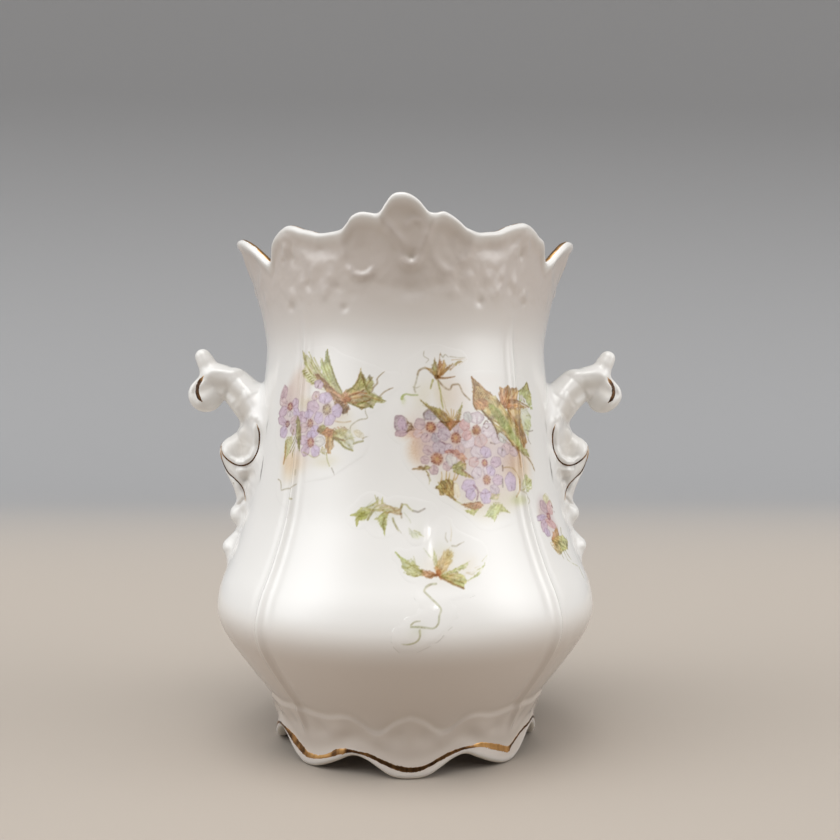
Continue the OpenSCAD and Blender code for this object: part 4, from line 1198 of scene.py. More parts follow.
    d.leaf([(-2.7, 73.5), (-0.4, 73), (-0.2, 71.3), (-1, 69.6), (-1.9, 69.6), (-2.4, 71.3)], GOLD, BROWN, UMBER, 0.88, root=(-1.6, 73.2), tip=(-1.4, 69.8), ribs=0, mottle=1.3)
    d.line([(-1.9, 72.8), (-1.8, 71.1), (-1.4, 69.6)], 0.39, 0.26, UMBER, 0.6)
    d.line([(-1.1, 73), (-0.8, 71.1)], 0.34, 0.26, CREAMW, 0.4)
    d.line([(-0.6, 73.7), (0.1, 74)], 0.28, 0.19, RUST, 0.6)
    d.line([(-0.4, 73.2), (0.2, 72.7)], 0.26, 0.17, TAN, 0.6)
    d.line([(-0.2, 74.9), (0.5, 74.5)], 0.28, 0.19, UMBER, 0.6)
    d.line([(0, 74.5), (0.6, 74)], 0.26, 0.17, TAN, 0.6)
    d.line([(0.3, 73.9), (0.9, 74.2)], 0.28, 0.19, UMBER, 0.6)
    d.line([(0.4, 73.4), (1, 72.9)], 0.26, 0.17, TAN, 0.6)
    d.line([(0.6, 75.1), (1.3, 74.7)], 0.28, 0.19, RUST, 0.6)
    d.line([(0.8, 74.7), (1.4, 74.2)], 0.26, 0.17, TAN, 0.6)
    d.line([(1.1, 74.1), (1.7, 74.4)], 0.28, 0.19, UMBER, 0.6)
    d.line([(1.2, 73.6), (1.8, 73.1)], 0.26, 0.17, TAN, 0.6)
    d.line([(1.4, 75.2), (2.1, 74.8)], 0.28, 0.19, UMBER, 0.6)
    d.line([(1.6, 74.8), (2.2, 74.3)], 0.26, 0.17, TAN, 0.6)
    d.line([(1.9, 74.3), (2.5, 74.6)], 0.28, 0.19, RUST, 0.6)
    d.line([(2, 73.8), (2.6, 73.3)], 0.26, 0.17, TAN, 0.6)
    d.line([(2.2, 75.1), (2.9, 74.7)], 0.28, 0.19, UMBER, 0.6)
    d.line([(2.4, 74.7), (3, 74.2)], 0.26, 0.17, TAN, 0.6)
    d.line([(2.7, 74.3), (3.3, 74.6)], 0.28, 0.19, UMBER, 0.6)
    d.line([(2.8, 73.8), (3.4, 73.3)], 0.26, 0.17, TAN, 0.6)
    d.leaf([(-0.6, 74.3), (1.7, 74.8), (3.6, 74.3), (4.7, 72.8), (4.8, 70.1), (2.7, 70.5), (1, 71.8), (-0.5, 72.7)], OLIVE, MIST, OLIVE, 0.75, root=(-0.3, 73.4), tip=(4.4, 70.9), ribs=4, edge=0.4)
    d.line([(-0.5, 72.7), (1, 72.2), (2.4, 71), (4.6, 70.1)], 0.52, 0.34, OLIVED, 0.75)
    d.line([(-0.3, 72.9), (1.3, 72.5), (2.6, 72.2)], 0.52, 0.34, UMBER, 0.55)
    d.line([(4.8, 71.6), (5.7, 71.9), (6.9, 72.1)], 0.47, 0.43, OLIVED, 0.55)
    d.line([(6.8, 72.6), (7.5, 73), (8.3, 73)], 0.43, 0.34, TWIG, 0.55)
    d.petal(5.9, 73.6, 1.4, 0.7, -30, STRAW, STRAWD, 0.3)
    d.leaf([(-3.9, 69.8), (-3.1, 70.9), (-2.3, 70.5), (-2.5, 69.4)], OLIVE, STRAWD, OLIVE, 0.6, ribs=0)
    d.line([(-2, 69.6), (-1.7, 68.1), (-1, 66.8)], 0.34, 0.26, OLIVE, 0.55)
    d.line([(-0.4, 66.4), (0.3, 65.2), (0.8, 63.7)], 0.34, 0.28, TWIGD, 0.5)
    d.dot(7, 68.6, 0.39, TWIG, 0.6)
    d.line([(-9, 69.8), (-7.1, 69.2), (-5.3, 68.6), (-3.9, 69.2)], 0.3, 0.26, OLIVE, 0.5)
    d.line([(-20.1, 65.7), (-18.8, 64.1), (-16.2, 63.5), (-15.5, 62.6), (-15.3, 61.4)], 0.39, 0.34, TWIG, 0.7)
    d.line([(-15.1, 61.3), (-13.4, 61.7), (-11.7, 61.9), (-10.2, 62.8)], 0.34, 0.26, TWIG, 0.65)
    d.line([(-11.8, 61.7), (-11.9, 60.1), (-11.9, 58.6)], 0.43, 0.3, OLIVED, 0.6)
    d.line([(-12.1, 59.7), (-10.9, 59.6)], 0.47, 0.34, OLIVED, 0.5)
    d.line([(-10.6, 65.9), (-10.6, 64.8)], 0.3, 0.21, TWIG, 0.5)
    d.line([(-19.4, 69.8), (-19.2, 66.6)], 0.3, 0.26, TWIG, 0.35)


def draw_right_bouquet(d):
    d.wash(-14.1, 70.2, 3.2, 5.4, PEACH, 1)
    d.wash(13.2, 67.6, 4.4, 4.3, PEACH, 0.55)
    d.wash(-4.5, 69.2, 3.7, 3.4, PEACH, 0.35)
    d.wash(-12.9, 74, 1.9, 1.3, SALMON, 0.55)
    d.wash(-4.5, 82.2, 3.9, 4.3, BLUSH, 0.6)
    d.wash(4.8, 88.9, 4, 3.4, BLUSH, 0.5)
    d.wash(-9, 81.1, 4.2, 3.9, STRAW, 0.6)
    d.wash(-2.9, 57.4, 7.6, 3.9, STRAW, 0.75)
    d.wash(-6.9, 63.4, 3.1, 2.6, STRAW, 0.5)
    d.wash(12, 65.8, 4.6, 3.9, CREAM, 0.9)
    d.wash(18.8, 62.3, 3.5, 6.5, CREAM, 0.7)
    d.wash(7.8, 59.5, 4.8, 3, STRAW, 0.6)
    d.wash(-1.7, 72.4, 8.3, 4.3, HAZE, 0.85)
    d.wash(-9.8, 72.3, 3.1, 5.6, HAZE, 0.8)
    d.wash(2.4, 64.3, 7.5, 5.6, HAZE, 0.85)
    d.wash(9.8, 69.8, 4.4, 3.9, HAZE, 0.7)
    d.wash(1.8, 71.1, 3.7, 1.7, BLUSH, 0.6)
    d.wash(15.4, 77, 3.3, 4.7, MIST, 0.6)
    d.line([(-10.2, 91), (-10.3, 90), (-9.6, 89.5), (-9.3, 89.2), (-9.9, 88.5)], 0.28, 0.17, TWIG, 0.6)
    d.line([(-9.1, 87.1), (-10.3, 87.4), (-11.4, 86.8), (-11.7, 85.9)], 0.43, 0.39, SEPIA, 0.7)
    d.line([(-11.7, 85.9), (-12.1, 84.4), (-12.5, 83.2), (-12.3, 82.3)], 0.3, 0.34, TWIG, 0.6)
    d.line([(-12.7, 83.4), (-12.1, 83.2), (-11.3, 83.6)], 0.26, 0.17, TWIG, 0.55)
    d.line([(-15.1, 80.9), (-14.7, 81.6), (-14.1, 81.9), (-13.2, 81.7), (-11.9, 81.7)], 0.47, 0.34, GREEN, 0.55)
    d.wash(-14.8, 80.7, 0.6, 1.1, LIME, 0.9)
    d.line([(-8.6, 84.9), (-8.9, 84.1), (-9.2, 83.1)], 0.47, 0.26, OLIVE, 0.8)
    d.line([(-7.6, 84.7), (-7.1, 82.4), (-7, 80.7), (-6.7, 79)], 0.39, 0.3, OLIVE, 0.8)
    d.line([(-7.2, 82.4), (-6.4, 80.3), (-6.1, 78.8)], 0.21, 0.17, STRAWD, 0.7)
    d.line([(-7.5, 84.9), (-6.5, 83.7), (-5.7, 83.1), (-4.9, 83), (-4.4, 83.9), (-3.6, 84.1), (-2.8, 84.1), (-2.3, 83.2), (-1.9, 82.3), (-0.3, 80.9)], 0.43, 0.37, SEPIA, 0.72)
    d.line([(-4.6, 90), (-2.2, 89.9), (0.8, 90.3)], 0.34, 0.21, TWIG, 0.5)
    d.line([(-4.2, 89.3), (-1.8, 89.6), (0.5, 90)], 0.3, 0.17, TAN, 0.6)
    d.leaf([(-7.8, 85.3), (-8.6, 86.2), (-8.6, 87.7), (-8, 89.4), (-7.6, 87.9), (-7.4, 85.8)], OLIVE, GREEN, UMBER, 0.85, ribs=0)
    d.leaf([(-7.9, 85.2), (-7.5, 87.7), (-6.8, 90.4), (-6.6, 88.3), (-6.7, 86.2)], BROWN, RUST, UMBER, 0.9, ribs=0)
    d.leaf([(-7.5, 85.4), (-6.5, 87.5), (-6, 89.1), (-5.5, 88), (-6.2, 86.7)], BROWN, GOLD, UMBER, 0.85, ribs=0)
    d.leaf([(-7.8, 85), (-6.3, 87), (-4.9, 88.1), (-2.8, 89), (-0.5, 89.6), (-2.8, 88.6), (-4.8, 87.5), (-6.3, 86.2)], BROWN, OLIVE, UMBER, 0.9, ribs=0)
    d.leaf([(-8.1, 85.7), (-9.1, 86.5), (-9.9, 87.5), (-8.9, 87.1), (-7.9, 86.4)], BROWN, GOLD, SEPIA, 0.85, ribs=0)
    d.line([(-7.3, 85.4), (-5.7, 85.4), (-3.6, 85.8)], 0.52, 0.19, UMBER, 0.75)
    d.line([(-6.7, 90.5), (-6.2, 89.8), (-5.7, 90.4), (-5, 89.9)], 0.32, 0.26, TWIG, 0.65)
    d.line([(-6.8, 86.9), (-6.2, 88.8)], 0.26, 0.17, SALMOND, 0.6)
    d.dot(-7.8, 85.6, 0.49, DARK, 0.8)
    d.petal(-15.4, 75.4, 2.2, 1.2, 100, HAZEB, MAUVED, 0.5)
    d.petal(-15.4, 73.7, 1.2, 0.7, -170, MAUVE, MAUVED, 0.6)
    d.petal(-15.2, 75.6, 1.4, 0.8, 95, LILAC, MAUVED, 0.35)
    d.line([(-16.2, 76.7), (-15.3, 77.4), (-14.4, 76.7), (-14, 75.4)], 0.26, 0.26, MAUVED, 0.45)
    d.leaf([(-12.5, 74.5), (-13.4, 75.7), (-14.2, 76.4), (-13.8, 75.2), (-14.1, 74.2), (-13.3, 74.4)], DARKP, SEPIA, DARK, 0.85, ribs=0)
    d.line([(-14.3, 74), (-13.5, 74.4), (-12.7, 74.3)], 0.3, 0.21, DARKP, 0.6)
    d.petal(-11.7, 75.6, 1.1, 1.3, 170, HAZEP, MAUVED, 0.5)
    d.petal(-12.2, 73.6, 1, 1, -160, HAZEP, SALMOND, 0.45)
    d.petal(-9.5, 77.5, 1.1, 1.5, 95, SLATE, MAUVED, 0.6)
    d.line([(-10.7, 76.5), (-10.8, 77.7), (-10.1, 78.6), (-9.1, 78.9)], 0.43, 0.3, TWIGD, 0.6)
    d.petal(-7.1, 75.3, 1.1, 1.1, 20, MAUVE, MAUVED, 0.5)
    d.petal(-8.5, 72.7, 1.2, 1, -75, SLATE, MAUVED, 0.55)
    d.petal(-10.6, 72.8, 1, 1, -120, HAZEP, MAUVED, 0.5)
    d.heart(-9.5, 75, 0.99, n=9)
    d.petal(-10.3, 70.2, 1.1, 1, 140, HAZEP, MAUVED, 0.45)
    d.petal(-7.8, 70.7, 1.3, 1.6, 80, LILACB, MAUVED, 0.5)
    d.petal(-6.4, 66.9, 1, 1, -40, HAZEP, MAUVED, 0.5)
    d.petal(-9.3, 66.1, 1, 1, -95, HAZEP, MAUVED, 0.4)
    d.petal(-11, 68.2, 0.9, 0.9, -170, HAZEP, MAUVED, 0.4)
    d.heart(-8.5, 68.4, 1.12, n=9)
    d.petal(-6.7, 73.6, 1.4, 1.4, 150, LILACB, MAUVED, 0.6)
    d.line([(-7.7, 72.1), (-6.6, 71.6), (-5.5, 71.4)], 0.34, 0.34, MAUVED, 0.7)
    d.petal(-3.5, 74.9, 1.2, 1.3, 85, HAZEP, MAUVED, 0.55)
    d.petal(-1.2, 72.1, 1.8, 1.5, -10, LILACW, MAUVED, 0.35)
    d.petal(-3.3, 70.2, 1.2, 1.2, -70, HAZEP, MAUVED, 0.45)
    d.petal(-5.8, 70.5, 1.1, 1, -130, LILACB, MAUVED, 0.45)
    d.heart(-4.1, 72.8, 1.03, n=8)
    d.petal(1.3, 77.1, 1.3, 1.9, 90, LILACW, MAUVED, 0.6)
    d.petal(-1.8, 75.5, 1.3, 1.2, 165, ROSE, ROSED, 0.55)
    d.petal(-1, 77.2, 1.2, 1.1, 115, MISTB, MAUVED, 0.45)
    d.petal(-1.4, 73.4, 1.2, 1.1, -160, ROSE, ROSED, 0.45)
    d.petal(4.2, 74.5, 1.9, 1.6, 10, LILACW, MAUVED, 0.5)
    d.petal(2.1, 72.2, 1.3, 1.8, -70, HAZEP, ROSED, 0.4)
    d.heart(1.1, 74.5, 0.95, n=8)
    d.wash(0.7, 74.1, 1, 0.6, GOLD, 0.9)
    d.line([(3.1, 75.8), (3.7, 76.5), (4.3, 76.3)], 0.34, 0.34, DARKP, 0.7)
    d.line([(3.1, 75.2), (3.9, 74.8), (4.5, 75.4)], 0.26, 0.21, DARKP, 0.55)
    d.petal(6.4, 72.8, 1.2, 1.4, -115, LILACW, MAUVED, 0.4)
    d.line([(4.8, 71.8), (6, 71.5)], 0.39, 0.3, DARKP, 0.6)
    d.petal(9.2, 70.5, 1.3, 1.6, -50, HAZEP, MAUVED, 0.5)
    d.petal(11.8, 70, 1.4, 1.2, -5, HAZEP, MAUVED, 0.45)
    d.petal(7.9, 69.8, 1, 1.4, -115, LILACB, MAUVED, 0.5)
    d.dot(8.1, 70.3, 0.32, TWIGD, 0.6)
    d.petal(8.5, 73.3, 1.6, 1.4, 100, MISTB, TWIGD, 0.5)
    d.line([(7.2, 74.4), (6.8, 73.5), (7.2, 72.4)], 0.43, 0.3, DARKP, 0.7)
    d.petal(0.7, 69.8, 1.4, 1.4, 145, LILACW, MAUVED, 0.45)
    d.petal(3.3, 69.8, 1.2, 1.6, 70, LILACV, MAUVED, 0.55)
    d.petal(6, 67.7, 1.6, 1.2, 5, LILAC, MAUVED, 0.55)
    d.petal(0, 67.7, 1.3, 1.1, -170, HAZEP, ROSED, 0.45)
    d.petal(3.6, 66, 1.2, 1.4, -70, LILACW, MAUVED, 0.45)
    d.line([(0.6, 68.1), (1.9, 68.6), (3.5, 68.6)], 0.3, 0.26, MAUVED, 0.6)
    d.heart(2.8, 67.5, 0.71, dark=(0.64, 0.42, 0.44), n=8)
    d.petal(-1.6, 62.7, 1.8, 1.4, -170, LILACV, MAUVED, 0.4)
    d.petal(-1.3, 61, 1.3, 1.3, -135, VIOLET, MAUVED, 0.5)
    d.petal(0.6, 65.4, 1.2, 1.5, 135, LILACW, MAUVED, 0.5)
    d.petal(4.4, 65.8, 1.1, 1.3, 55, LILACV, MAUVED, 0.5)
    d.petal(6.2, 63.8, 1.6, 1.2, 5, LILAC, MAUVED, 0.5)
    d.petal(5.1, 61.7, 1.4, 1.2, -35, LILACB, MAUVED, 0.45)
    d.petal(2.5, 60.4, 1.6, 1.5, -85, VIOLET, MAUVED, 0.45)
    d.line([(0.5, 64.1), (0.9, 63.1), (1.7, 62.4)], 0.47, 0.43, LILACW, 0.8)
    d.heart(3.1, 63.9, 0.9, n=9)
    d.line([(-0.4, 62.7), (0.4, 62), (0.5, 61), (0.1, 59.8)], 0.52, 0.43, PLUM, 0.65)
    d.line([(0.8, 61.4), (2, 61), (3.7, 61.3)], 0.34, 0.26, MAUVED, 0.6)
    d.petal(-5.3, 68.3, 1.5, 1.3, 95, PEARL, MAUVED, 0.35)
    d.leaf([(-6.8, 69.5), (-6.3, 70.2), (-5.3, 70.5), (-4, 70.2), (-2.6, 69.5), (-1.7, 68.4), (-2.7, 67.7), (-3.7, 68.6), (-4.7, 69.2), (-5.6, 69.7), (-6.3, 69.5)], ROSED, SALMOND, ROSED, 0.85, ribs=0)
    d.leaf([(-5.6, 66.4), (-4.4, 67.5), (-3.2, 68), (-2, 67.3), (-2.1, 66.1), (-3.8, 65.9)], GREEN, GOLD, OLIVED, 0.85, ribs=3)
    d.leaf([(-5.1, 65.9), (-3.3, 66.1), (-1.7, 65.2), (-0.5, 64.3), (-2.2, 64.6), (-3.8, 65.2)], GREEN, GOLD, OLIVED, 0.85, ribs=0)
    d.line([(-3, 66.1), (-1.7, 65.2), (-0.5, 64.4)], 0.43, 0.26, UMBER, 0.7)
    d.line([(-2.7, 68.4), (-2, 67.1)], 0.47, 0.26, BROWN, 0.7)
    d.leaf([(-5.4, 74.4), (-6.7, 75.8), (-7.9, 77), (-9.1, 78.5), (-10.3, 79.4), (-11.4, 80.7), (-9.9, 79.7), (-8.7, 79.2), (-7.4, 78.9), (-6.1, 78), (-5, 76.5)], UMBER, OLIVE, OLIVED, 0.9, ribs=3)
    d.leaf([(-4.9, 74.9), (-3.8, 76.4), (-3.2, 78.3), (-2.3, 80.1), (-2.6, 78.1), (-3.1, 76.3)], BROWN, OLIVE, OLIVED, 0.9, ribs=0)
    d.leaf([(-5.3, 74.3), (-6.1, 75.7), (-5.4, 76.8), (-4.2, 76.5), (-3, 76.3), (-4.2, 75.5)], RUST, RUST, UMBER, 0.92, ribs=0)
    d.line([(-5.5, 76.3), (-6, 77.5), (-6.8, 78.7)], 0.37, 0.15, GOLD, 0.75)
    d.line([(-5.3, 76.5), (-5.5, 77.7), (-6.1, 78.8)], 0.37, 0.15, GOLD, 0.75)
    d.line([(-5.1, 76.7), (-4.9, 77.8), (-4.9, 78.9)], 0.37, 0.15, GOLD, 0.75)
    d.line([(-4.8, 76.8), (-4.4, 77.7), (-4.3, 78.7)], 0.37, 0.15, GOLD, 0.75)
    d.line([(-4.6, 76.5), (-3.9, 77.5), (-3.5, 78.5)], 0.37, 0.15, GOLD, 0.75)
    d.line([(-6, 76.1), (-6.7, 76.9), (-7.7, 77.8)], 0.37, 0.15, GOLD, 0.75)
    d.line([(-7.3, 76.2), (-6.2, 76), (-5.3, 76.3)], 0.34, 0.34, DARK, 0.7)
    d.leaf([(14.5, 69.8), (11.8, 71.1), (9.7, 73.1), (8.3, 74.4), (7, 73.7), (5.7, 75.6), (4.1, 77.3), (2.8, 78.6), (1.2, 78.8), (0.6, 80), (0.5, 82.6), (0.5, 85.9), (2.3, 84.6), (3.9, 83.3), (5.3, 82.6), (7, 81.8), (8.7, 80.3), (10.4, 78.6), (12.3, 76.7), (13.8, 74), (15.3, 71.1)], OLIVE, GOLD, UMBER, 0.92, root=(14.5, 69.8), tip=(0.6, 85.6), ribs=0, mottle=1)
    d.leaf([(1, 83.9), (2.6, 84), (5, 82.4), (3.5, 81.6), (2.1, 81.2), (0.8, 81.5)], GOLD, GOLD, UMBER, 0.75, ribs=0, mottle=1.4, edge=0.3)
    d.leaf([(1, 81.1), (3.2, 81.4), (4.6, 81), (4.2, 79.5), (2.8, 78.8), (1.2, 79.2)], RUSTP, RUST, UMBER, 0.85, ribs=0, edge=0.35)
    d.leaf([(14.8, 70), (12.6, 71.6), (10.1, 73.8), (7.7, 75.9), (5.5, 78.2), (4.5, 80.2), (6, 80.2), (7.9, 78.8), (10.3, 76.4), (12.7, 73.4), (14.6, 71.1)], GREENL, GREEN, OLIVE, 0.9, root=(14.5, 70.2), tip=(4.8, 80.4), ribs=0, edge=0.25)
    d.line([(4.3, 81.2), (6.5, 80), (8.8, 78.1), (11.5, 75.1), (13.9, 71.6)], 0.43, 0.34, LIMEL, 0.7)
    d.line([(5.2, 81.7), (7.5, 80.5), (9.5, 78.6), (11.9, 76), (13.7, 72.9)], 0.39, 0.34, GOLD, 0.6)
    d.line([(0.5, 85.8), (1.1, 83.9), (0.7, 81.8), (0.7, 79.8), (1.4, 78.9)], 0.52, 0.43, UMBER, 0.8)
    d.line([(0.6, 85.6), (2.6, 84.3), (4.1, 83), (5.8, 82.2)], 0.34, 0.39, BROWN, 0.75)
    d.line([(2.8, 78.7), (4.3, 77.3), (5.9, 75.7), (6.8, 73.8)], 0.43, 0.47, DARK, 0.75)
    d.line([(7.3, 74.4), (8.8, 73.7), (10.6, 72.2), (12.8, 70.2)], 0.3, 0.34, UMBER, 0.5)
    d.line([(1.7, 83.5), (1, 82.5)], 0.21, 0.13, DARK, 0.5)
    d.line([(2.1, 83.2), (1.4, 82.3)], 0.21, 0.13, DARK, 0.5)
    d.line([(2.5, 83), (1.7, 82)], 0.21, 0.13, DARK, 0.5)
    d.line([(2.9, 82.7), (2.1, 81.7)], 0.21, 0.13, DARK, 0.5)
    d.line([(3.3, 82.4), (2.5, 81.4)], 0.21, 0.13, DARK, 0.5)
    d.line([(3.7, 82.2), (2.9, 81.2)], 0.21, 0.13, DARK, 0.5)
    d.line([(4.1, 81.9), (3.3, 80.9)], 0.21, 0.13, DARK, 0.5)
    d.line([(2.2, 82.7), (3.1, 82.9)], 0.19, 0.13, LIMEL, 0.5)
    d.line([(2.6, 82.3), (3.5, 82.6)], 0.19, 0.13, LIMEL, 0.5)
    d.line([(3, 82), (3.9, 82.3)], 0.19, 0.13, LIMEL, 0.5)
    d.line([(3.4, 81.7), (4.4, 81.9)], 0.19, 0.13, LIMEL, 0.5)
    d.line([(3.9, 81.4), (4.8, 81.6)], 0.19, 0.13, LIMEL, 0.5)
    d.line([(4.3, 81), (5.2, 81.3)], 0.19, 0.13, LIMEL, 0.5)
    d.line([(1.8, 80.1), (2.5, 79.2)], 0.43, 0.3, RUST, 0.6)
    d.leaf([(9.5, 79.2), (8.3, 80.5), (7.9, 82.3), (8.3, 84), (10.2, 83.9), (10.9, 84.5), (12.2, 84), (13.6, 84.4), (14.6, 83.5), (13.7, 81.9), (12.8, 81.2), (14.7, 80.7), (17.2, 79.9), (14.2, 79.4)], RUST, GOLD, UMBER, 0.9, root=(9.2, 79.7), tip=(12.9, 84.3), ribs=0, mottle=1.3)
    d.line([(8.7, 80.5), (8.8, 82), (8.6, 83.4)], 0.32, 0.17, RUST, 0.7)
    d.line([(9.3, 80.3), (9.9, 81.9), (10.2, 83.5)], 0.32, 0.17, RUST, 0.7)
    d.line([(9.9, 80.4), (11, 81.9), (11.8, 83.3)], 0.32, 0.17, RUST, 0.7)
    d.line([(10.6, 80.2), (12, 81.7), (13.2, 83.2)], 0.32, 0.17, RUST, 0.7)
    d.line([(9.7, 81), (10.4, 82.5), (10.9, 84)], 0.32, 0.17, RUST, 0.7)
    d.line([(11.7, 81.5), (13.7, 81.7), (12.1, 83.1)], 0.26, 0.19, STRAWD, 0.7)
    d.leaf([(15.2, 70.5), (14, 72.9), (12.5, 75.8), (10.7, 78.4), (9.9, 79.8), (11.8, 79.4), (14.9, 79.3), (14.5, 78.1), (15.2, 75.9), (16.1, 73.8), (16.5, 72)], BROWN, GOLD, UMBER, 0.9, root=(15.3, 70.9), tip=(10.5, 79.5), ribs=0, mottle=1.2)
    d.line([(10.5, 79.1), (12.3, 77.1), (13.8, 74.7), (15, 72.3), (15.7, 70.9)], 0.47, 0.43, BROWN, 0.75)
    d.line([(11, 81.3), (13.7, 81.3), (15.8, 80.7), (18, 80)], 0.37, 0.32, UMBER, 0.8)
    d.line([(9.5, 79.6), (11.5, 80.1), (13.9, 80.2)], 0.3, 0.26, RUST, 0.65)
    d.leaf([(14.7, 81), (14.7, 83.4), (16.6, 84.6), (18, 86.1), (18.6, 84.2), (20.2, 82.4), (21.6, 81.6), (20.4, 79.5), (18.8, 79.6), (17.3, 81.1), (16.3, 82.2)], GREENL, OLIVE, OLIVED, 0.85, root=(15.5, 81.5), tip=(18.2, 85.3), ribs=0)
    d.line([(18.1, 85.5), (18.2, 84.1)], 0.47, 0.3, DARK, 0.7)
    d.line([(14.6, 83.4), (16.1, 84.3), (17.8, 85.5)], 0.34, 0.3, OLIVED, 0.7)
    d.line([(16.2, 81.5), (16.4, 81.2)], 0.43, 0.43, DARK, 0.8)
    d.petal(15.5, 82.1, 0.6, 0.7, 75, PEARL, STRAWD, 0.2)
    d.leaf([(14.9, 79), (17.2, 79.5), (18.6, 78), (18.4, 75.7), (17, 73.4), (15.6, 74.7), (14.7, 77)], MIST, GREENL, OLIVE, 0.6, ribs=0, edge=0.3)
    d.line([(16.4, 74.8), (17.5, 74.5), (19.1, 74.7)], 0.34, 0.26, TWIGD, 0.6)
    d.line([(17, 73.2), (17.3, 72.3), (18, 71.6)], 0.26, 0.21, TWIGD, 0.55)
    d.leaf([(13.2, 71.1), (14.9, 71), (16.3, 70.2), (17.3, 68.7), (15.5, 69.1), (13.8, 69.8)], OLIVE, GREENL, OLIVED, 0.85, ribs=0)
    d.line([(12.8, 70.9), (13.3, 68.9), (13.5, 66.5)], 0.47, 0.21, BROWN, 0.75)
    d.line([(14.3, 69.8), (16.2, 68.7), (17.6, 67.5), (19, 65.4)], 0.47, 0.43, SEPIA, 0.7)
    d.line([(18.3, 67.5), (18.4, 65.3), (18.9, 63.2)], 0.21, 0.17, STRAWD, 0.6)
    d.line([(14.6, 68.9), (14.9, 67.1), (14.6, 64.7)], 0.34, 0.26, PEARL, 0.7)
    d.line([(13.7, 73.6), (14.7, 72.3), (14.9, 70.9)], 0.34, 0.26, LIMEL, 0.5)
    d.leaf([(-9.9, 66.4), (-11.5, 66.1), (-13.6, 66.3), (-12.3, 66.7), (-10.7, 67)], OLIVE, TAN, SEPIA, 0.85, ribs=0)
    d.leaf([(-11, 66.1), (-10.4, 65.3), (-10.1, 64.1), (-10.5, 63.1), (-10.5, 64.5)], OLIVE, STRAWD, SEPIA, 0.7, ribs=0)
    d.line([(-8, 63.6), (-7.7, 64.7), (-7.7, 65.7)], 0.39, 0.19, GOLD, 0.7)
    d.line([(-6.9, 63.8), (-6.7, 64.9), (-6.6, 65.9)], 0.39, 0.19, GOLD, 0.7)
    d.line([(-6.4, 63.8), (-6.1, 64.6), (-5.9, 65.5)], 0.39, 0.19, GOLD, 0.7)
    d.line([(-5.4, 63.6), (-4.9, 64.7), (-4.6, 65.9)], 0.39, 0.19, GOLD, 0.7)
    d.line([(-4.8, 64), (-4.3, 64.6), (-4, 65.2)], 0.39, 0.19, GOLD, 0.7)
    d.leaf([(-5, 59.8), (-6.3, 60.2), (-7.3, 61.2), (-8.4, 61), (-8.7, 61.9), (-9.2, 62.4), (-8.4, 63.4), (-7.5, 64), (-6.2, 64.2), (-5.2, 63.8), (-4.8, 62.1), (-5.4, 60.7)], GOLD, OLIVE, UMBER, 0.9, root=(-5.8, 60.5), tip=(-8.2, 63.2), ribs=4, mottle=1.6)
    d.line([(-8.5, 62.8), (-8.3, 61.7), (-8.1, 60.8)], 0.28, 0.21, BROWN, 0.55)
    d.line([(-8.1, 63.5), (-7.8, 62.4), (-7.6, 61.4)], 0.28, 0.21, UMBER, 0.55)
    d.line([(-7.6, 63.2), (-7.4, 62.1), (-7.2, 61.2)], 0.28, 0.21, BROWN, 0.55)
    d.line([(-7.2, 63.8), (-6.9, 62.7), (-6.8, 61.8)], 0.28, 0.21, UMBER, 0.55)
    d.line([(-6.8, 63.4), (-6.5, 62.3), (-6.3, 61.3)], 0.28, 0.21, BROWN, 0.55)
    d.line([(-6.3, 63.9), (-6, 62.8), (-5.9, 61.8)], 0.28, 0.21, UMBER, 0.55)
    d.line([(-5.9, 63.6), (-5.6, 62.5), (-5.4, 61.5)], 0.28, 0.21, BROWN, 0.55)
    d.line([(-5.4, 63.2), (-5.2, 62), (-5, 61.1)], 0.28, 0.21, UMBER, 0.55)
    d.petal(-4.6, 61.7, 1.8, 0.7, 95, CREAMW, STRAWD, 0.25)
    d.line([(-5.8, 60.7), (-5, 59.7), (-3.6, 59)], 0.39, 0.21, OLIVE, 0.6)
    d.leaf([(0.3, 59.5), (1.3, 59), (2, 58.6), (0.7, 57.9), (-0.9, 57.6), (-2.3, 58.2), (-3.7, 58.9), (-2.2, 59.2), (-0.7, 59.2)], RUST, BROWN, UMBER, 0.9, root=(0.3, 59.3), tip=(-3.4, 58.8), ribs=3)
    d.leaf([(0.4, 57.9), (-1.1, 56.6), (-2.2, 57.1), (-3.2, 57.7), (-1.6, 57.8)], LIMED, LIMED, OLIVE, 0.85, ribs=0)
    d.dot(4.4, 60.5, 0.56, TAN, 0.55)
    d.leaf([(3.5, 59.9), (4.7, 60.7), (6.5, 60.8), (5.7, 59.6)], GREENL, STRAWD, OLIVE, 0.7, ribs=0)
    d.leaf([(6.8, 58.5), (8.8, 56.8), (6.3, 57.1), (5, 56.4), (4.2, 55.2), (3, 56.1), (1.7, 56.3), (2.9, 57.8), (4.3, 59)], LIMED, GREENL, OLIVE, 0.85, ribs=3)
    d.line([(6.1, 57.6), (7.4, 57.1), (8.9, 56.7)], 0.34, 0.26, OLIVE, 0.55)
    d.petal(10.1, 63.3, 2.1, 1.8, 95, LILACV, MAUVED, 0.3)
    d.line([(7.6, 63.8), (7.5, 62.3)], 0.56, 0.47, TWIGD, 0.55)
    d.line([(7.9, 66.8), (7.9, 65.8)], 0.52, 0.43, DARKP, 0.75)
    d.line([(8, 66.4), (9.5, 66.5), (11.4, 66.1), (12.7, 64.5), (13, 62.8), (12.7, 61.2), (11.6, 60)], 0.34, 0.43, TAN, 0.75)
    d.line([(13, 63.6), (12.8, 61.5)], 0.43, 0.34, BROWN, 0.45)
    d.leaf([(13.5, 61.4), (13.6, 63.4), (15.4, 64.9), (17.2, 63.5), (17.1, 61.5), (15.1, 60.7)], MIST, GREENL, OLIVE, 0.75, ribs=3, edge=0.3)
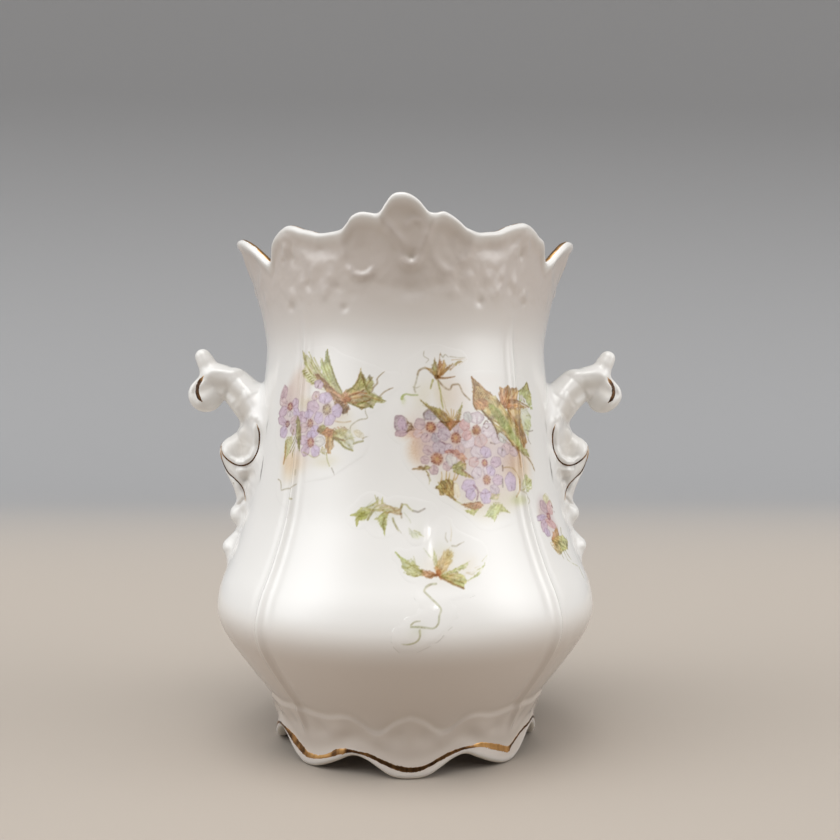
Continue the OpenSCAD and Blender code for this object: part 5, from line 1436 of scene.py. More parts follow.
    d.wash(12.2, 59.3, 2.6, 1.1, LIME, 0.6)
    d.line([(13.2, 61.4), (14.7, 60.4), (16, 58.9), (15, 57.9), (15.4, 56.5), (15.9, 54.8)], 0.39, 0.26, TWIG, 0.5)
    d.line([(-9.6, 61.6), (-9.5, 60.4), (-10.4, 59.4), (-11.9, 58.4)], 0.21, 0.17, STRAWD, 0.5)


def draw_leaf_sprig(d):
    d.wash(-2.8, 58.1, 5.4, 2.6, MIST, 0.5)
    d.leaf([(-5.4, 58), (-6.1, 56.7), (-6.9, 55.8), (-8.1, 55.8), (-8.5, 54.5), (-8.8, 55.8), (-8.5, 56.5), (-9.9, 56.7), (-8.7, 57.4), (-7.6, 58.3), (-6.2, 58.5)], LIMED, LIMED, OLIVE, 0.85, root=(-5.8, 57.9), tip=(-9.4, 56.6), ribs=3)
    d.wash(-7.4, 56.6, 1.1, 0.9, LIMED, 0.6)
    d.line([(-8, 56.4), (-8.4, 55.6), (-8.5, 54.6)], 0.56, 0.34, OLIVE, 0.7)
    d.leaf([(-7.8, 57.9), (-6.6, 58.7), (-5.2, 59), (-4.3, 59.7), (-4.2, 60.5), (-3.7, 59.8), (-3.2, 60.5), (-2.7, 59.4), (-1.6, 58.8), (-0.4, 58.4), (0.8, 58.1), (0.7, 57.2), (-1.2, 57.5), (-2.6, 57.8), (-4.1, 57.7), (-5.8, 57.7)], MISTG, TAN, OLIVE, 0.75, root=(-6.6, 58.1), tip=(0.5, 57.8), ribs=5, edge=0.4)
    d.line([(-4.2, 59.3), (-4.5, 60.2), (-4.8, 61)], 0.39, 0.21, OLIVE, 0.55)
    d.line([(-3.3, 59.4), (-3.2, 60), (-3.1, 60.7)], 0.43, 0.21, OLIVE, 0.55)
    d.line([(-5, 57.8), (-5.6, 57), (-6.2, 55.9)], 0.52, 0.39, OLIVED, 0.75)
    d.line([(-5.3, 57.7), (-3.7, 57.8), (-2, 57.5)], 0.3, 0.26, STRAWD, 0.7)
    d.leaf([(-1.4, 57.6), (-2.6, 56.3), (-2.3, 54.7), (-2.6, 52.8), (-3.1, 54.3), (-3.9, 55.6), (-4.6, 56.1), (-3.7, 56.7), (-2.8, 57.7)], OLIVE, GREENL, OLIVE, 0.75, root=(-2, 57.5), tip=(-2.8, 53.5), ribs=3)
    d.line([(-2.8, 56.3), (-3, 55.3), (-2.8, 53.9)], 0.43, 0.3, OLIVED, 0.6)
    d.line([(-2.4, 57.3), (-1.4, 57.6), (-0.2, 57.2), (0.7, 57.2)], 0.47, 0.43, TAN, 0.75)
    d.line([(-1.4, 58.6), (-0.4, 57.8), (0.5, 58.2)], 0.39, 0.34, TAN, 0.7)
    d.line([(0.8, 59.2), (0.6, 57.8), (0.8, 56.4)], 0.43, 0.34, SEPIA, 0.5)
    d.line([(-1, 56.3), (-0.7, 55.4), (0, 54.2), (0.6, 53.4)], 0.39, 0.52, OLIVED, 0.6)
    d.line([(0.6, 53.4), (1.1, 53.1), (1.5, 53.2)], 0.34, 0.26, TWIG, 0.55)
    d.line([(0.7, 58.4), (1.1, 59.1), (1.8, 59), (2.3, 58.4), (3.1, 57.8)], 0.39, 0.34, OLIVE, 0.6)
    d.line([(3.1, 57.8), (4.1, 57.6), (4.7, 57.8), (5.5, 58.2)], 0.43, 0.39, TWIGD, 0.6)
    d.line([(1.3, 57.4), (2.3, 56.2), (2.7, 55.4)], 0.21, 0.21, MISTG, 0.7)
    d.wash(3.8, 52.9, 1.7, 1.0, MISTG, 0.4)
    d.leaf([(2.3, 54.4), (3.1, 53.7), (4.3, 53.5), (5.3, 52.7), (4.3, 52.2), (3.2, 52.3), (2.5, 53.2)], MISTG, LIME, OLIVE, 0.4, ribs=0, edge=0.15)
    d.wash(5.4, 54, 1.6, 1.7, MIST, 0.5)


def draw_fan_leaf(d):
    d.wash(0.6, 46.8, 4.2, 3, CREAM, 0.5)
    d.wash(6.4, 46.6, 3.1, 2.1, CREAM, 0.4)
    d.wash(-6.9, 47, 2.4, 2.1, MIST, 0.5)
    d.wash(-1, 50.4, 2.5, 2.1, MIST, 0.35)
    d.leaf([(-0.8, 45.2), (-1.2, 46.5), (-0.1, 48.2), (1, 49.6), (2.1, 50.1), (2.9, 49.3), (2.6, 47.9), (1.5, 46.4), (0.1, 44.8)], GOLD, STRAWD, TAN, 0.85, root=(-0.4, 45.2), tip=(2.1, 49.7), ribs=3, edge=0.3)
    d.wash(2, 48.7, 1.1, 1.3, LIMEL, 0.8)
    d.leaf([(-0.9, 46.3), (-1.4, 48.1), (-1.1, 50), (-0.6, 48.8), (-0.3, 46.9)], OLIVE, LIME, OLIVE, 0.55, ribs=0, edge=0.3)
    d.leaf([(-0.6, 45), (-2, 45.9), (-3.4, 46.2), (-4.2, 46), (-3.9, 45), (-2.7, 44.6), (-1.2, 44.7)], RUST, RUSTP, UMBER, 0.85, root=(-0.8, 45.2), tip=(-3.8, 45.6), ribs=3)
    d.line([(-3, 44.8), (-1.6, 45), (-0.6, 45.2)], 0.39, 0.39, UMBER, 0.6)
    d.leaf([(-3.6, 46.2), (-4.5, 46.6), (-5.2, 47.5), (-5.3, 48.9), (-5.9, 47.7), (-7, 48.2), (-8.7, 49.5), (-7.7, 47.9), (-7.6, 46.6), (-6.6, 45.4), (-5.4, 44.9), (-3.8, 45.1)], OLIVE, LIME, OLIVE, 0.75, root=(-3.8, 45.6), tip=(-7.4, 48.1), ribs=4, edge=0.45)
    d.line([(-8.8, 49.6), (-8, 48.6), (-7, 48.1)], 0.47, 0.43, GREENL, 0.65)
    d.line([(-7.7, 47), (-6.7, 46.6), (-5.5, 47.1), (-4.3, 46.8)], 0.3, 0.26, OLIVE, 0.55)
    d.line([(-7.4, 45.7), (-6.2, 45.2), (-4.8, 45)], 0.34, 0.3, OLIVE, 0.5)
    d.line([(-4, 46), (-3.4, 45.4)], 0.52, 0.43, OLIVED, 0.5)
    d.leaf([(0, 44.9), (1.3, 45.9), (3, 46.1), (4.4, 46.7), (6.2, 47.4), (5.3, 46.3), (3.7, 45.7), (1.9, 45.3)], OLIVE, GREENL, OLIVE, 0.7, root=(0.3, 45.1), tip=(5.8, 47), ribs=0, edge=0.4)
    d.leaf([(-0.2, 44.8), (1.5, 45.3), (3.4, 45.4), (4.9, 44.8), (5.4, 43.6), (4.6, 42.4), (3, 43), (1.6, 43.8)], GOLD, LIMED, OLIVE, 0.8, root=(0.2, 44.8), tip=(4.7, 43.4), ribs=4, edge=0.4)
    d.line([(-0.2, 44.8), (1.2, 44), (2.8, 43.2), (4.6, 42.4)], 0.47, 0.43, UMBER, 0.7)
    d.line([(0.2, 44.8), (1.9, 44.4), (3.7, 43.7), (4.7, 43.3)], 0.34, 0.26, OLIVED, 0.55)
    d.line([(0.5, 45.1), (2.3, 44.9), (4.4, 44.6)], 0.26, 0.21, OLIVE, 0.5)
    d.dot(-0.4, 45.6, 0.6, RUST, 0.8)
    d.line([(-0.7, 46.5), (-0.4, 45.3), (0, 44.4)], 0.69, 0.47, RUST, 0.6)
    d.leaf([(5.4, 43.8), (7.5, 44.8), (9.1, 46.3), (10.7, 48.7), (9.9, 46.6), (8.3, 44.8)], LIME, LIME, OLIVE, 0.85, ribs=0, edge=0.4)
    d.leaf([(4.5, 45.2), (6.7, 45.4), (8.6, 46.5), (7.1, 44.8)], MIST, STRAW, STRAWD, 0.5, ribs=0, edge=0.2)
    d.line([(2.8, 50.7), (3.7, 50.6), (4.3, 50.9), (5.5, 51.4)], 0.34, 0.26, TWIG, 0.6)
    d.line([(2.9, 57.1), (2.8, 55.4), (2.9, 53.4), (2.6, 51.7)], 0.39, 0.3, STRAWD, 0.55)
    d.line([(1.7, 53.3), (1.5, 52.3), (1.9, 51.5)], 0.3, 0.3, TWIG, 0.45)
    d.line([(-3.3, 50.6), (-2.5, 49.4), (-1.8, 48.5)], 0.43, 0.3, MISTG, 0.75)
    d.line([(-1.1, 43.5), (-2.3, 43.4), (-3.2, 42.9), (-3.6, 42.2), (-3.1, 41.6), (-2, 40.5), (-1.1, 39.6), (-0.5, 38.7), (-0.9, 37.5), (-1.2, 36), (-2.1, 35.2), (-3.5, 35.3), (-5, 35.5), (-6.6, 35.5)], 0.43, 0.38, (0.79, 0.79, 0.68), 0.85)
    d.line([(-2.3, 43.4), (-3.2, 42.9)], 0.52, 0.52, TWIG, 0.3)
    d.line([(-3.6, 42.2), (-2.4, 43.1)], 0.26, 0.26, CREAM, 0.5)
    d.wash(-5.6, 35, 1.8, 1.7, MIST, 0.5)
    d.line([(-6.6, 35.9), (-5.8, 36.5), (-4.8, 36.6)], 0.36, 0.32, (0.77, 0.76, 0.64), 0.8)
    d.line([(-4.9, 34.9), (-4.9, 33.6), (-5.6, 32.6), (-7.2, 32.1), (-8.4, 32.2)], 0.40, 0.34, (0.77, 0.76, 0.62), 0.8)
    d.wash(-9, 29.9, 1, 0.6, STRAWD, 0.5)


def draw_side_spray(d):
    d.wash(-7.5, 57.8, 4.3, 4.3, HAZE, 0.55)
    d.wash(-4.7, 54.3, 4.9, 4.3, HAZE, 0.7)
    d.wash(-10.6, 54.7, 3, 4.3, CREAM, 0.5)
    d.petal(-4, 59.1, 1.2, 1.6, 100, LIMEL, STRAWD, 0.3)
    d.petal(-5.9, 57.3, 1.8, 1.4, 140, MAUVE, MAUVED, 0.5)
    d.petal(-2.9, 56.9, 1.7, 1.5, 45, ROSE, ROSED, 0.5)
    d.petal(-8.2, 55, 2.3, 0.7, -175, VIOLET, MAUVED, 0.45)
    d.petal(-7.9, 53.2, 1.8, 1.2, -140, LILAC, MAUVED, 0.5)
    d.petal(-4.5, 53.4, 2.3, 1, -20, ROSE, ROSED, 0.5)
    d.heart(-4.7, 55.1, 0.77, dark=(0.6, 0.38, 0.4), mid=(0.93, 0.76, 0.72), n=8)
    d.petal(-7.6, 51.7, 1, 1.2, -100, LILACV, MAUVED, 0.65)
    d.line([(-1.7, 57.3), (-0.5, 56.5), (-1, 55.9)], 0.56, 0.43, DARKP, 0.75)
    d.line([(-2.2, 58.7), (-1, 57.5)], 0.34, 0.3, OLIVE, 0.6)
    d.leaf([(-5.7, 48.3), (-6.8, 50), (-5.3, 51.4), (-1.7, 52.7), (-2.1, 51.2), (-3.3, 49.4)], RUST, BROWN, UMBER, 0.9, ribs=0)
    d.leaf([(-8.2, 49.4), (-4.5, 50.4), (-0.1, 50.5), (2.1, 48.9), (0, 47.3), (-3.5, 47.2), (-6, 46.3), (-7.3, 47.6)], GOLD, LIMED, OLIVED, 0.88, root=(-6.6, 49.7), tip=(-1.1, 47.6), ribs=3, mottle=1.2)
    d.line([(0.1, 52.1), (-0.8, 50.8)], 0.34, 0.26, OLIVED, 0.6)
    d.line([(2.1, 49.6), (0.8, 47.9)], 0.43, 0.34, OLIVED, 0.65)
    d.line([(-4.3, 47.7), (-4.6, 46.6), (-4.5, 45.4)], 0.34, 0.21, OLIVED, 0.65)
    d.line([(-2.9, 47.4), (-2.9, 46.2), (-2.6, 45)], 0.34, 0.21, OLIVED, 0.65)
    d.line([(-1.8, 47), (-1.3, 46), (-0.5, 44.9)], 0.34, 0.21, OLIVED, 0.65)
    d.petal(-10.1, 49.2, 1.4, 1, -145, APRICOT, TAN, 0.4)
    d.line([(-9, 47.7), (-10.6, 46.8)], 0.3, 0.21, TAN, 0.5)
    d.line([(3.4, 42.7), (3.3, 41.5), (3.2, 39.9)], 0.34, 0.3, OLIVED, 0.6)
    d.line([(-2.7, 45.1), (-1, 44.2), (2.5, 43.1)], 0.3, 0.26, OLIVE, 0.5)


# Each print's outline on the wall: discs [across, height, radius], joined in turn.
LEFT_BOUQUET = [[12.6, 84.6, 2.2], [7, 83, 5.4], [0, 84, 7], [-4, 88, 5.2], [-9, 88, 5], [-13, 81, 5.6],
    [-14, 74, 5.4], [-6, 76, 8], [2, 75, 6.6], [4, 72, 4.4], [-2, 69, 5], [-12, 68, 5.6],
    [-13, 62, 4.4], [-11.5, 58.6, 2.6]]
RIGHT_BOUQUET = [[-13.6, 75.6, 4.8], [-12, 79.6, 3.8], [-10.5, 86, 4.6], [-7.5, 88.4, 4.4], [-2.5, 89.6, 2.2],
    [-6.5, 84, 5], [-3, 80, 7], [3.4, 82, 5.6], [9, 81, 7], [15, 82.6, 4.6], [14, 77, 6.4],
    [13, 71, 6.8], [12, 66, 7.2],
    [5, 68, 9], [-2, 68, 9], [-8.4, 74.6, 6], [-9.4, 70, 6.4], [-7, 66, 5.6], [-5.6, 62.4, 3.8],
    [3, 60, 7], [11, 60, 5.6], [14, 58, 3.2]]
LEAF_SPRIG = [[-8.4, 56.6, 2.8], [-5.4, 58, 3.8], [-3.4, 56, 3.9], [-1.8, 56.6, 3.8], [0, 57.4, 3.6],
    [3, 57.6, 3], [6.2, 57.6, 2.2], [3, 55.6, 3.4], [3.8, 53, 2.2]]
FAN_LEAF = [[-8.2, 49, 1.6], [-5, 47, 3.6], [0, 46.6, 5], [1.6, 55, 1.9], [2, 50.6, 4], [7.6, 48.6, 3.4],
    [5, 45, 4], [0, 44, 4], [-2.4, 42.4, 3.2], [-0.6, 38, 3], [-3.6, 35.4, 3.2], [-7, 33.4, 3]]
SIDE_SPRAY = [[-5.4, 57.4, 4.4], [-5.4, 55.4, 4.8], [-5.4, 53.6, 5], [-4.2, 51.6, 5.1], [-3, 50, 5],
    [-1.4, 48.6, 4.8], [0, 47.6, 4.4], [2.6, 44, 3], [4.6, 41, 2]]

SHEET_STEP = 0.14
HEM = 0.6  # the sheet's clear edge, which sinks into the glaze


def discs_inside(x, z, discs):
    """How far inside the joined discs a point is, in millimetres."""
    best = np.full(np.shape(x), -9.0)
    for (ax, az, ar), (bx, bz, br) in zip(discs, discs[1:]):
        dd = (bx - ax) ** 2 + (bz - az) ** 2
        t = np.clip(((x - ax) * (bx - ax) + (z - az) * (bz - az)) / dd, 0, 1)
        best = np.maximum(best, ar + (br - ar) * t - np.hypot(x - ax - t * (bx - ax), z - az - t * (bz - az)))
    return best


def wall_angle(u, z, mid):
    a = mid + np.degrees(np.arcsin(np.clip(u / 36.0, -0.98, 0.98)))
    for _ in range(14):
        a = mid + np.degrees(np.arcsin(np.clip(u / skin_radius(a, z), -0.98, 0.98)))
    return a


def make_drawing(discs, draw, seed):
    x = [d[0] - d[2] for d in discs] + [d[0] + d[2] for d in discs]
    z = [d[1] - d[2] for d in discs] + [d[1] + d[2] for d in discs]
    d = Drawing(min(x) - 0.4, max(x) + 0.4, min(z) - 0.4, max(z) + 0.4, seed)
    draw(d)
    d.finish()
    return d


def build_print(name, discs, mid, drawing):
    x0, x1 = min(d[0] - d[2] for d in discs) - HEM, max(d[0] + d[2] for d in discs) + HEM
    z0, z1 = min(d[1] - d[2] for d in discs) - HEM, max(d[1] + d[2] for d in discs) + HEM
    U, Z = np.meshgrid(np.arange(x0, x1 + SHEET_STEP, SHEET_STEP), np.arange(z0, z1 + SHEET_STEP, SHEET_STEP))
    inside = discs_inside(U, Z, discs) + HEM
    keep = inside > 0
    cell = keep[:-1, :-1] & keep[1:, :-1] & keep[:-1, 1:] & keep[1:, 1:]
    used = np.zeros(keep.shape, bool)
    used[:-1, :-1] |= cell; used[1:, :-1] |= cell; used[:-1, 1:] |= cell; used[1:, 1:] |= cell
    ids = np.full(keep.shape, -1)
    n = int(used.sum())
    ids[used] = np.arange(n)
    u, z, d = U[used], Z[used], inside[used]
    a = wall_angle(u, z, mid)
    r = skin_radius(a, z)
    rise = -0.025 + 0.05 * ease(d / 1.2)
    top = place(a, r + rise, z)
    low = place(a, r - 0.15, z)
    ink = drawing.sample(u, z)
    # faint washes die away over a wider border than the drawn lines
    depth = ease((1 - ink.max(axis=1) - 0.02) / 0.13)
    blend = ease((d - 0.6) / (4.2 - 3.5 * depth))[:, None]
    ink = np.clip(1 - (1 - ink) * blend, 0.02, 1) ** 2.2
    j, i = np.nonzero(cell)
    f = np.column_stack([ids[j, i], ids[j, i + 1], ids[j + 1, i + 1], ids[j + 1, i]])
    # the sheet's edge, where a cell has no neighbour
    pad = np.pad(cell, 1)
    walls = []
    for dj, di, p, q in ((-1, 0, (0, 0), (0, 1)), (0, 1, (0, 1), (1, 1)), (1, 0, (1, 1), (1, 0)), (0, -1, (1, 0), (0, 0))):
        free = cell & ~pad[1 + dj:1 + dj + cell.shape[0], 1 + di:1 + di + cell.shape[1]]
        jj, ii = np.nonzero(free)
        A, B = ids[jj + p[0], ii + p[1]], ids[jj + q[0], ii + q[1]]
        walls.append(np.column_stack([B, A, A + n, B + n]))
    faces = np.vstack([f, f[:, ::-1] + n] + walls)
    return make_mesh(name, np.vstack([top, low]), faces, True, {"ink": np.vstack([ink, ink])})


# --------------------------------------------------------------- materials

def new_material(name):
    m = bpy.data.materials.new(name)
    m.use_nodes = True
    nt = m.node_tree
    b = nt.nodes["Principled BSDF"]
    return m, nt, b


def node(nt, kind, **inputs):
    n = nt.nodes.new(kind)
    for k, v in inputs.items():
        if k in n.inputs:
            n.inputs[k].default_value = v
    return n


def attr(nt, name):
    n = nt.nodes.new("ShaderNodeAttribute")
    n.attribute_name = name
    return n


def mix_colour(nt, fac, a, b, blend="MIX"):
    n = nt.nodes.new("ShaderNodeMix")
    n.data_type = "RGBA"
    n.blend_type = blend
    links = nt.links
    for sock, v in ((n.inputs[0], fac), (n.inputs[6], a), (n.inputs[7], b)):
        if hasattr(v, "is_linked") or hasattr(v, "links"):
            links.new(v, sock)
        elif isinstance(v, (int, float)):
            sock.default_value = v
        else:
            sock.default_value = (*v, 1.0)
    return n.outputs[2]


def maths(nt, op, a, b=None, clamp=False):
    n = nt.nodes.new("ShaderNodeMath")
    n.operation = op
    n.use_clamp = clamp
    for sock, v in zip(n.inputs, (a, b)):
        if v is None:
            continue
        if hasattr(v, "links"):
            nt.links.new(v, sock)
        else:
            sock.default_value = v
    return n.outputs[0]


PORCELAIN = (0.80, 0.79, 0.77)
GLAZE_ROUGH = 0.11
# painted shade: the heights in metres where it starts and where it is full, and its tint
PAINTED_SHADE_ZONES = [(0.037, 0.026, (0.73, 0.655, 0.60)), (0.087, 0.109, (0.75, 0.685, 0.65))]


def noise_tex(nt, scale, detail=2.0, rough=0.5):
    tc = nt.nodes.new("ShaderNodeTexCoord")
    n = nt.nodes.new("ShaderNodeTexNoise")
    n.inputs["Scale"].default_value = scale
    n.inputs["Detail"].default_value = detail
    n.inputs["Roughness"].default_value = rough
    nt.links.new(tc.outputs["Object"], n.inputs["Vector"])
    return n.outputs["Fac"]


def porcelain_base(nt, with_painted_shade=True):
    """The glazed white: cloudy by a hair, with painted shade that darkens and warms it towards the foot and under the
    rim.
    """
    cloud = noise_tex(nt, 26.0, 3.0)
    c = mix_colour(nt, cloud, tuple(v * 0.985 for v in PORCELAIN), tuple(min(1, v * 1.012) for v in PORCELAIN))
    if not with_painted_shade:
        return c
    # painted shade: the colour darkens and warms towards the foot and under the rim, where the wall faces away from the
    # light
    where = nt.nodes.new("ShaderNodeTexCoord")
    split = nt.nodes.new("ShaderNodeSeparateXYZ")
    nt.links.new(where.outputs["Object"], split.inputs[0])
    for z0, z1, tone in PAINTED_SHADE_ZONES:
        shade_zone = nt.nodes.new("ShaderNodeMapRange")
        shade_zone.interpolation_type = "SMOOTHSTEP"
        shade_zone.inputs["From Min"].default_value = z0
        shade_zone.inputs["From Max"].default_value = z1
        nt.links.new(split.outputs[2], shade_zone.inputs["Value"])
        c = mix_colour(nt, shade_zone.outputs["Result"], c, tuple(p * t for p, t in zip(PORCELAIN, tone)))
    return c


def glaze_bump(nt, b, strength=0.05):
    wave = noise_tex(nt, 95.0, 2.0)
    bump = nt.nodes.new("ShaderNodeBump")
    bump.inputs["Strength"].default_value = strength
    bump.inputs["Distance"].default_value = 0.0004
    nt.links.new(wave, bump.inputs["Height"])
    nt.links.new(bump.outputs["Normal"], b.inputs["Normal"])


def set_glaze(b):
    b.inputs["Roughness"].default_value = GLAZE_ROUGH
    b.inputs["IOR"].default_value = 1.52
    b.inputs["Metallic"].default_value = 0.0


def make_porcelain(name="porcelain_glaze", with_painted_shade=True):
    m, nt, b = new_material(name)
    set_glaze(b)
    c = porcelain_base(nt, with_painted_shade)
    # painted highlight: the rim's lip and the foot's hem go back to the plain white
    lip = attr(nt, "lip").outputs["Fac"]
    c = mix_colour(nt, maths(nt, "MULTIPLY", lip, 0.9, True), c, PORCELAIN)
    # painted shade with a warm glaze-pool tint in the relief's hollows
    pool_shade = attr(nt, "hollow_pool_and_shade").outputs["Fac"]
    c = mix_colour(nt, maths(nt, "MULTIPLY", pool_shade, 0.5, True), c, (0.56, 0.50, 0.42))
    # painted shade on the inside of the vase
    inner = attr(nt, "inner").outputs["Fac"]
    c = mix_colour(nt, maths(nt, "MULTIPLY", inner, 0.2), c, (0.74, 0.70, 0.63))
    # a few iron specks in the body
    speck = nt.nodes.new("ShaderNodeTexVoronoi")
    speck.inputs["Scale"].default_value = 120.0
    tc = nt.nodes.new("ShaderNodeTexCoord")
    nt.links.new(tc.outputs["Object"], speck.inputs["Vector"])
    few = maths(nt, "GREATER_THAN", noise_tex(nt, 160.0, 0.0), 0.71)
    dot = maths(nt, "LESS_THAN", speck.outputs["Distance"], 0.035)
    c = mix_colour(nt, maths(nt, "MULTIPLY", maths(nt, "MULTIPLY", few, dot), 0.5), c, (0.30, 0.24, 0.17))
    bare = attr(nt, "bare").outputs["Fac"]
    c = mix_colour(nt, maths(nt, "MULTIPLY", bare, 0.75), c, (0.62, 0.56, 0.47))
    nt.links.new(c, b.inputs["Base Color"])
    r = nt.nodes.new("ShaderNodeMapRange")
    r.inputs["To Min"].default_value = GLAZE_ROUGH
    r.inputs["To Max"].default_value = 0.6
    nt.links.new(bare, r.inputs["Value"])
    nt.links.new(r.outputs["Result"], b.inputs["Roughness"])
    glaze_bump(nt, b)
    return m


def make_gilt():
    m, nt, b = new_material("worn_gilding")
    n1 = noise_tex(nt, 900.0, 3.0, 0.6)
    n2 = maths(nt, "MULTIPLY", maths(nt, "SUBTRACT", noise_tex(nt, 420.0, 2.0, 0.6), 0.32), 2.6, True)
    wear = attr(nt, "wear").outputs["Fac"]
    # dark burnt gold to bright rubbed gold, and bare glaze where it has worn off
    tone = mix_colour(nt, maths(nt, "MULTIPLY", n2, 1.0, True), (0.045, 0.020, 0.009), (0.34, 0.17, 0.06))
    lit = mix_colour(nt, maths(nt, "MULTIPLY", wear, 1.5, True), tone, (0.60, 0.34, 0.125))
    burnt = maths(nt, "MULTIPLY", wear, -1.15, True)
    burnt = maths(nt, "MULTIPLY", burnt, maths(nt, "ADD", maths(nt, "MULTIPLY", n1, 0.9), 0.45), True)
    lit = mix_colour(nt, burnt, lit, (0.030, 0.014, 0.008))
    gone = maths(nt, "GREATER_THAN", maths(nt, "ADD", wear, maths(nt, "MULTIPLY", n1, 0.75)), 1.12)
    c = mix_colour(nt, gone, lit, PORCELAIN)
    nt.links.new(c, b.inputs["Base Color"])
    metal = maths(nt, "SUBTRACT", 1.0, gone, True)
    metal = maths(nt, "MULTIPLY", metal, 0.9)
    nt.links.new(metal, b.inputs["Metallic"])
    r = nt.nodes.new("ShaderNodeMapRange")
    r.inputs["To Min"].default_value = 0.2
    r.inputs["To Max"].default_value = 0.42
    nt.links.new(n1, r.inputs["Value"])
    nt.links.new(r.outputs["Result"], b.inputs["Roughness"])
    bump = nt.nodes.new("ShaderNodeBump")
    bump.inputs["Strength"].default_value = 0.25
    bump.inputs["Distance"].default_value = 0.0001
    nt.links.new(n1, bump.inputs["Height"])
    nt.links.new(bump.outputs["Normal"], b.inputs["Normal"])
    return m


def make_print():
    m, nt, b = new_material("flower_print_glaze")
    set_glaze(b)
    # the prints carry the same painted shade towards the foot and under the rim
    base = porcelain_base(nt)
    ink = attr(nt, "ink").outputs["Color"]
    c = mix_colour(nt, 1.0, base, ink, "MULTIPLY")
    nt.links.new(c, b.inputs["Base Color"])
    glaze_bump(nt, b)
    return m


# ------------------------------------------------------------------- assemble

MAT_PORCELAIN = make_porcelain()
MAT_HANDLE = make_porcelain("porcelain_handle", False)
MAT_GILT = make_gilt()
MAT_PRINT = make_print()


def dress(ob, material, slot, *nodes):
    ob.data.materials.append(material)
    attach(ob, "root")
    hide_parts(*nodes)
    return ob


dress(build_body(), MAT_PORCELAIN, "porcelain", "vase_body")
dress(build_handle(1), MAT_HANDLE, "porcelain", "handle_right")
dress(build_handle(-1), MAT_HANDLE, "porcelain", "handle_left")
dress(build_handle_gilding(1), MAT_GILT, "gilding", "handle_right_gilding")
dress(build_handle_gilding(-1), MAT_GILT, "gilding", "handle_left_gilding")
dress(build_foot_gilding(), MAT_GILT, "gilding", "foot_gilding")
dress(build_rim_gilding(), MAT_GILT, "gilding", "rim_gilding")

for stem, discs, draw, front, back, seed in (
        ("left_bouquet", LEFT_BOUQUET, draw_left_bouquet, ("front", -27), ("back", 153), 3),
        ("right_bouquet", RIGHT_BOUQUET, draw_right_bouquet, ("front", 22), ("back", 202), 4),
        ("leaf_sprig", LEAF_SPRIG, draw_leaf_sprig, ("front", -4), ("back", 176), 5),
        ("fan_leaf", FAN_LEAF, draw_fan_leaf, ("front", 8), ("back", 188), 6),
        ("side_spray", SIDE_SPRAY, draw_side_spray, ("right", 66), ("left", 246), 7)):
    sheet = make_drawing(discs, draw, seed)
    for where, mid in (front, back):
        name = "decal_%s_%s" % (where, stem)
        dress(build_print(name, discs, mid, sheet), MAT_PRINT, "flower_print", name)


# ---------------------------------------------------------- floor, light, camera

def build_floor():
    """A plain sheet that lies flat under the vase and curves up far behind it."""
    line = [(-14.0, 0.0), (-1.0, 0.0), (-0.3, 0.0), (0.3, 0.0), (0.9, 0.0)]
    for k in range(1, 25):
        t = math.radians(90.0 * k / 24)
        line.append((0.9 + 0.9 * math.sin(t), 0.9 - 0.9 * math.cos(t)))
    line.append((1.8, 3.0))
    xs = (-14.0, -3.0, 0.0, 3.0, 14.0)
    verts = [(x, y, z) for y, z in line for x in xs]
    n = len(xs)
    faces = [(j * n + i, j * n + i + 1, (j + 1) * n + i + 1, (j + 1) * n + i)
             for j in range(len(line) - 1) for i in range(n - 1)]
    me = bpy.data.meshes.new("floor")
    me.from_pydata(verts, [], faces)
    for poly in me.polygons:
        poly.use_smooth = True
    ob = bpy.data.objects.new("floor", me)
    bpy.context.scene.collection.objects.link(ob)
    m, nt, b = new_material("floor_paper")
    b.inputs["Roughness"].default_value = 0.7
    # warm near the vase, neutral far behind it
    where = nt.nodes.new("ShaderNodeTexCoord")
    split = nt.nodes.new("ShaderNodeSeparateXYZ")
    nt.links.new(where.outputs["Object"], split.inputs[0])
    far = nt.nodes.new("ShaderNodeMapRange")
    far.interpolation_type = "SMOOTHSTEP"
    far.inputs["From Min"].default_value = 0.15
    far.inputs["From Max"].default_value = 1.1
    nt.links.new(split.outputs[1], far.inputs["Value"])
    nt.links.new(mix_colour(nt, far.outputs["Result"], FLOOR, BACKDROP), b.inputs["Base Color"])
    me.materials.append(m)


FLOOR = (0.43, 0.38, 0.33)
BACKDROP = (0.27, 0.27, 0.275)
# soft pools of light: azimuth from the front, height, tightness, strength, colour
POOLS = [(0, 70, 14, 5.6, (1.0, 0.985, 0.965)),
         (-70, 60, 14, 2.1, (0.95, 0.975, 1.0)),
         (-75, 25, 14, 3.0, (0.95, 0.975, 1.0)),
         (75, 25, 14, 3.7, (0.98, 0.99, 1.0)),
         (19.5, 27, 4800, 23.0, (1.0, 1.0, 1.0))]
AMBIENT = 0.06


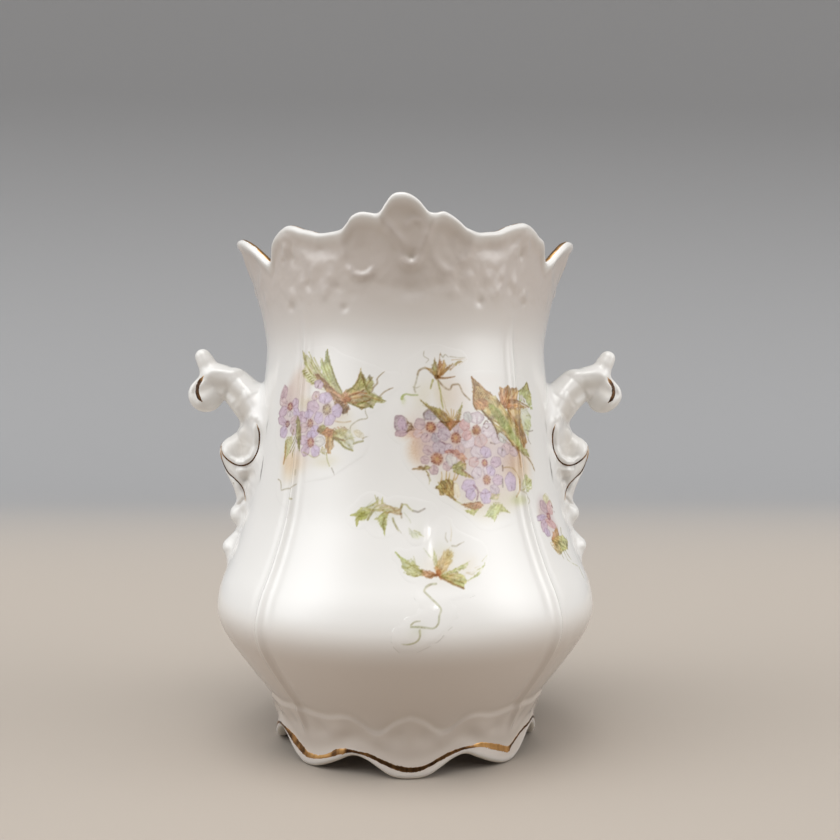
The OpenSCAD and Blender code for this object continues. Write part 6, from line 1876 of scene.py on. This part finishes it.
def build_world():
    world = bpy.data.worlds.new("studio")
    bpy.context.scene.world = world
    world.use_nodes = True
    nt = world.node_tree
    nt.nodes.clear()
    out = nt.nodes.new("ShaderNodeOutputWorld")
    bg = nt.nodes.new("ShaderNodeBackground")
    nt.links.new(bg.outputs[0], out.inputs[0])
    tc = nt.nodes.new("ShaderNodeTexCoord")
    total = None
    for az, el, tight, power, colour in POOLS:
        az, el = math.radians(az), math.radians(el)
        dot = nt.nodes.new("ShaderNodeVectorMath")
        dot.operation = "DOT_PRODUCT"
        dot.inputs[1].default_value = (math.sin(az) * math.cos(el), -math.cos(az) * math.cos(el), math.sin(el))
        nt.links.new(tc.outputs["Generated"], dot.inputs[0])
        up = maths(nt, "MAXIMUM", dot.outputs["Value"], 0.0)
        lobe = maths(nt, "MULTIPLY", maths(nt, "POWER", up, float(tight)), power)
        tint = nt.nodes.new("ShaderNodeVectorMath")
        tint.operation = "SCALE"
        tint.inputs[0].default_value = colour
        nt.links.new(lobe, tint.inputs["Scale"])
        if total is None:
            total = tint.outputs[0]
        else:
            add = nt.nodes.new("ShaderNodeVectorMath")
            add.operation = "ADD"
            nt.links.new(total, add.inputs[0])
            nt.links.new(tint.outputs[0], add.inputs[1])
            total = add.outputs[0]
    base = nt.nodes.new("ShaderNodeVectorMath")
    base.operation = "ADD"
    base.inputs[1].default_value = (AMBIENT, AMBIENT, AMBIENT)
    nt.links.new(total, base.inputs[0])
    nt.links.new(base.outputs[0], bg.inputs["Color"])
    bg.inputs["Strength"].default_value = 1.0


for old in [o for o in bpy.data.objects if o.type == "LIGHT"]:
    bpy.data.objects.remove(old)
build_floor()
build_world()

cam = bpy.data.cameras.new("camera")
cam.sensor_width = 36.0
cam.lens = 36.0 * 850 / 840
cam.shift_y = 30.0 / 840
cam.shift_x = 0.0
cam.clip_start, cam.clip_end = 0.01, 20
camera = bpy.data.objects.new("camera", cam)
camera.location = (-0.00556, -0.21243, 0.07025)
camera.rotation_euler = (math.radians(90), 0, math.radians(-2.444))
bpy.context.scene.collection.objects.link(camera)
bpy.context.scene.camera = camera
bpy.context.scene.view_settings.view_transform = "Standard"
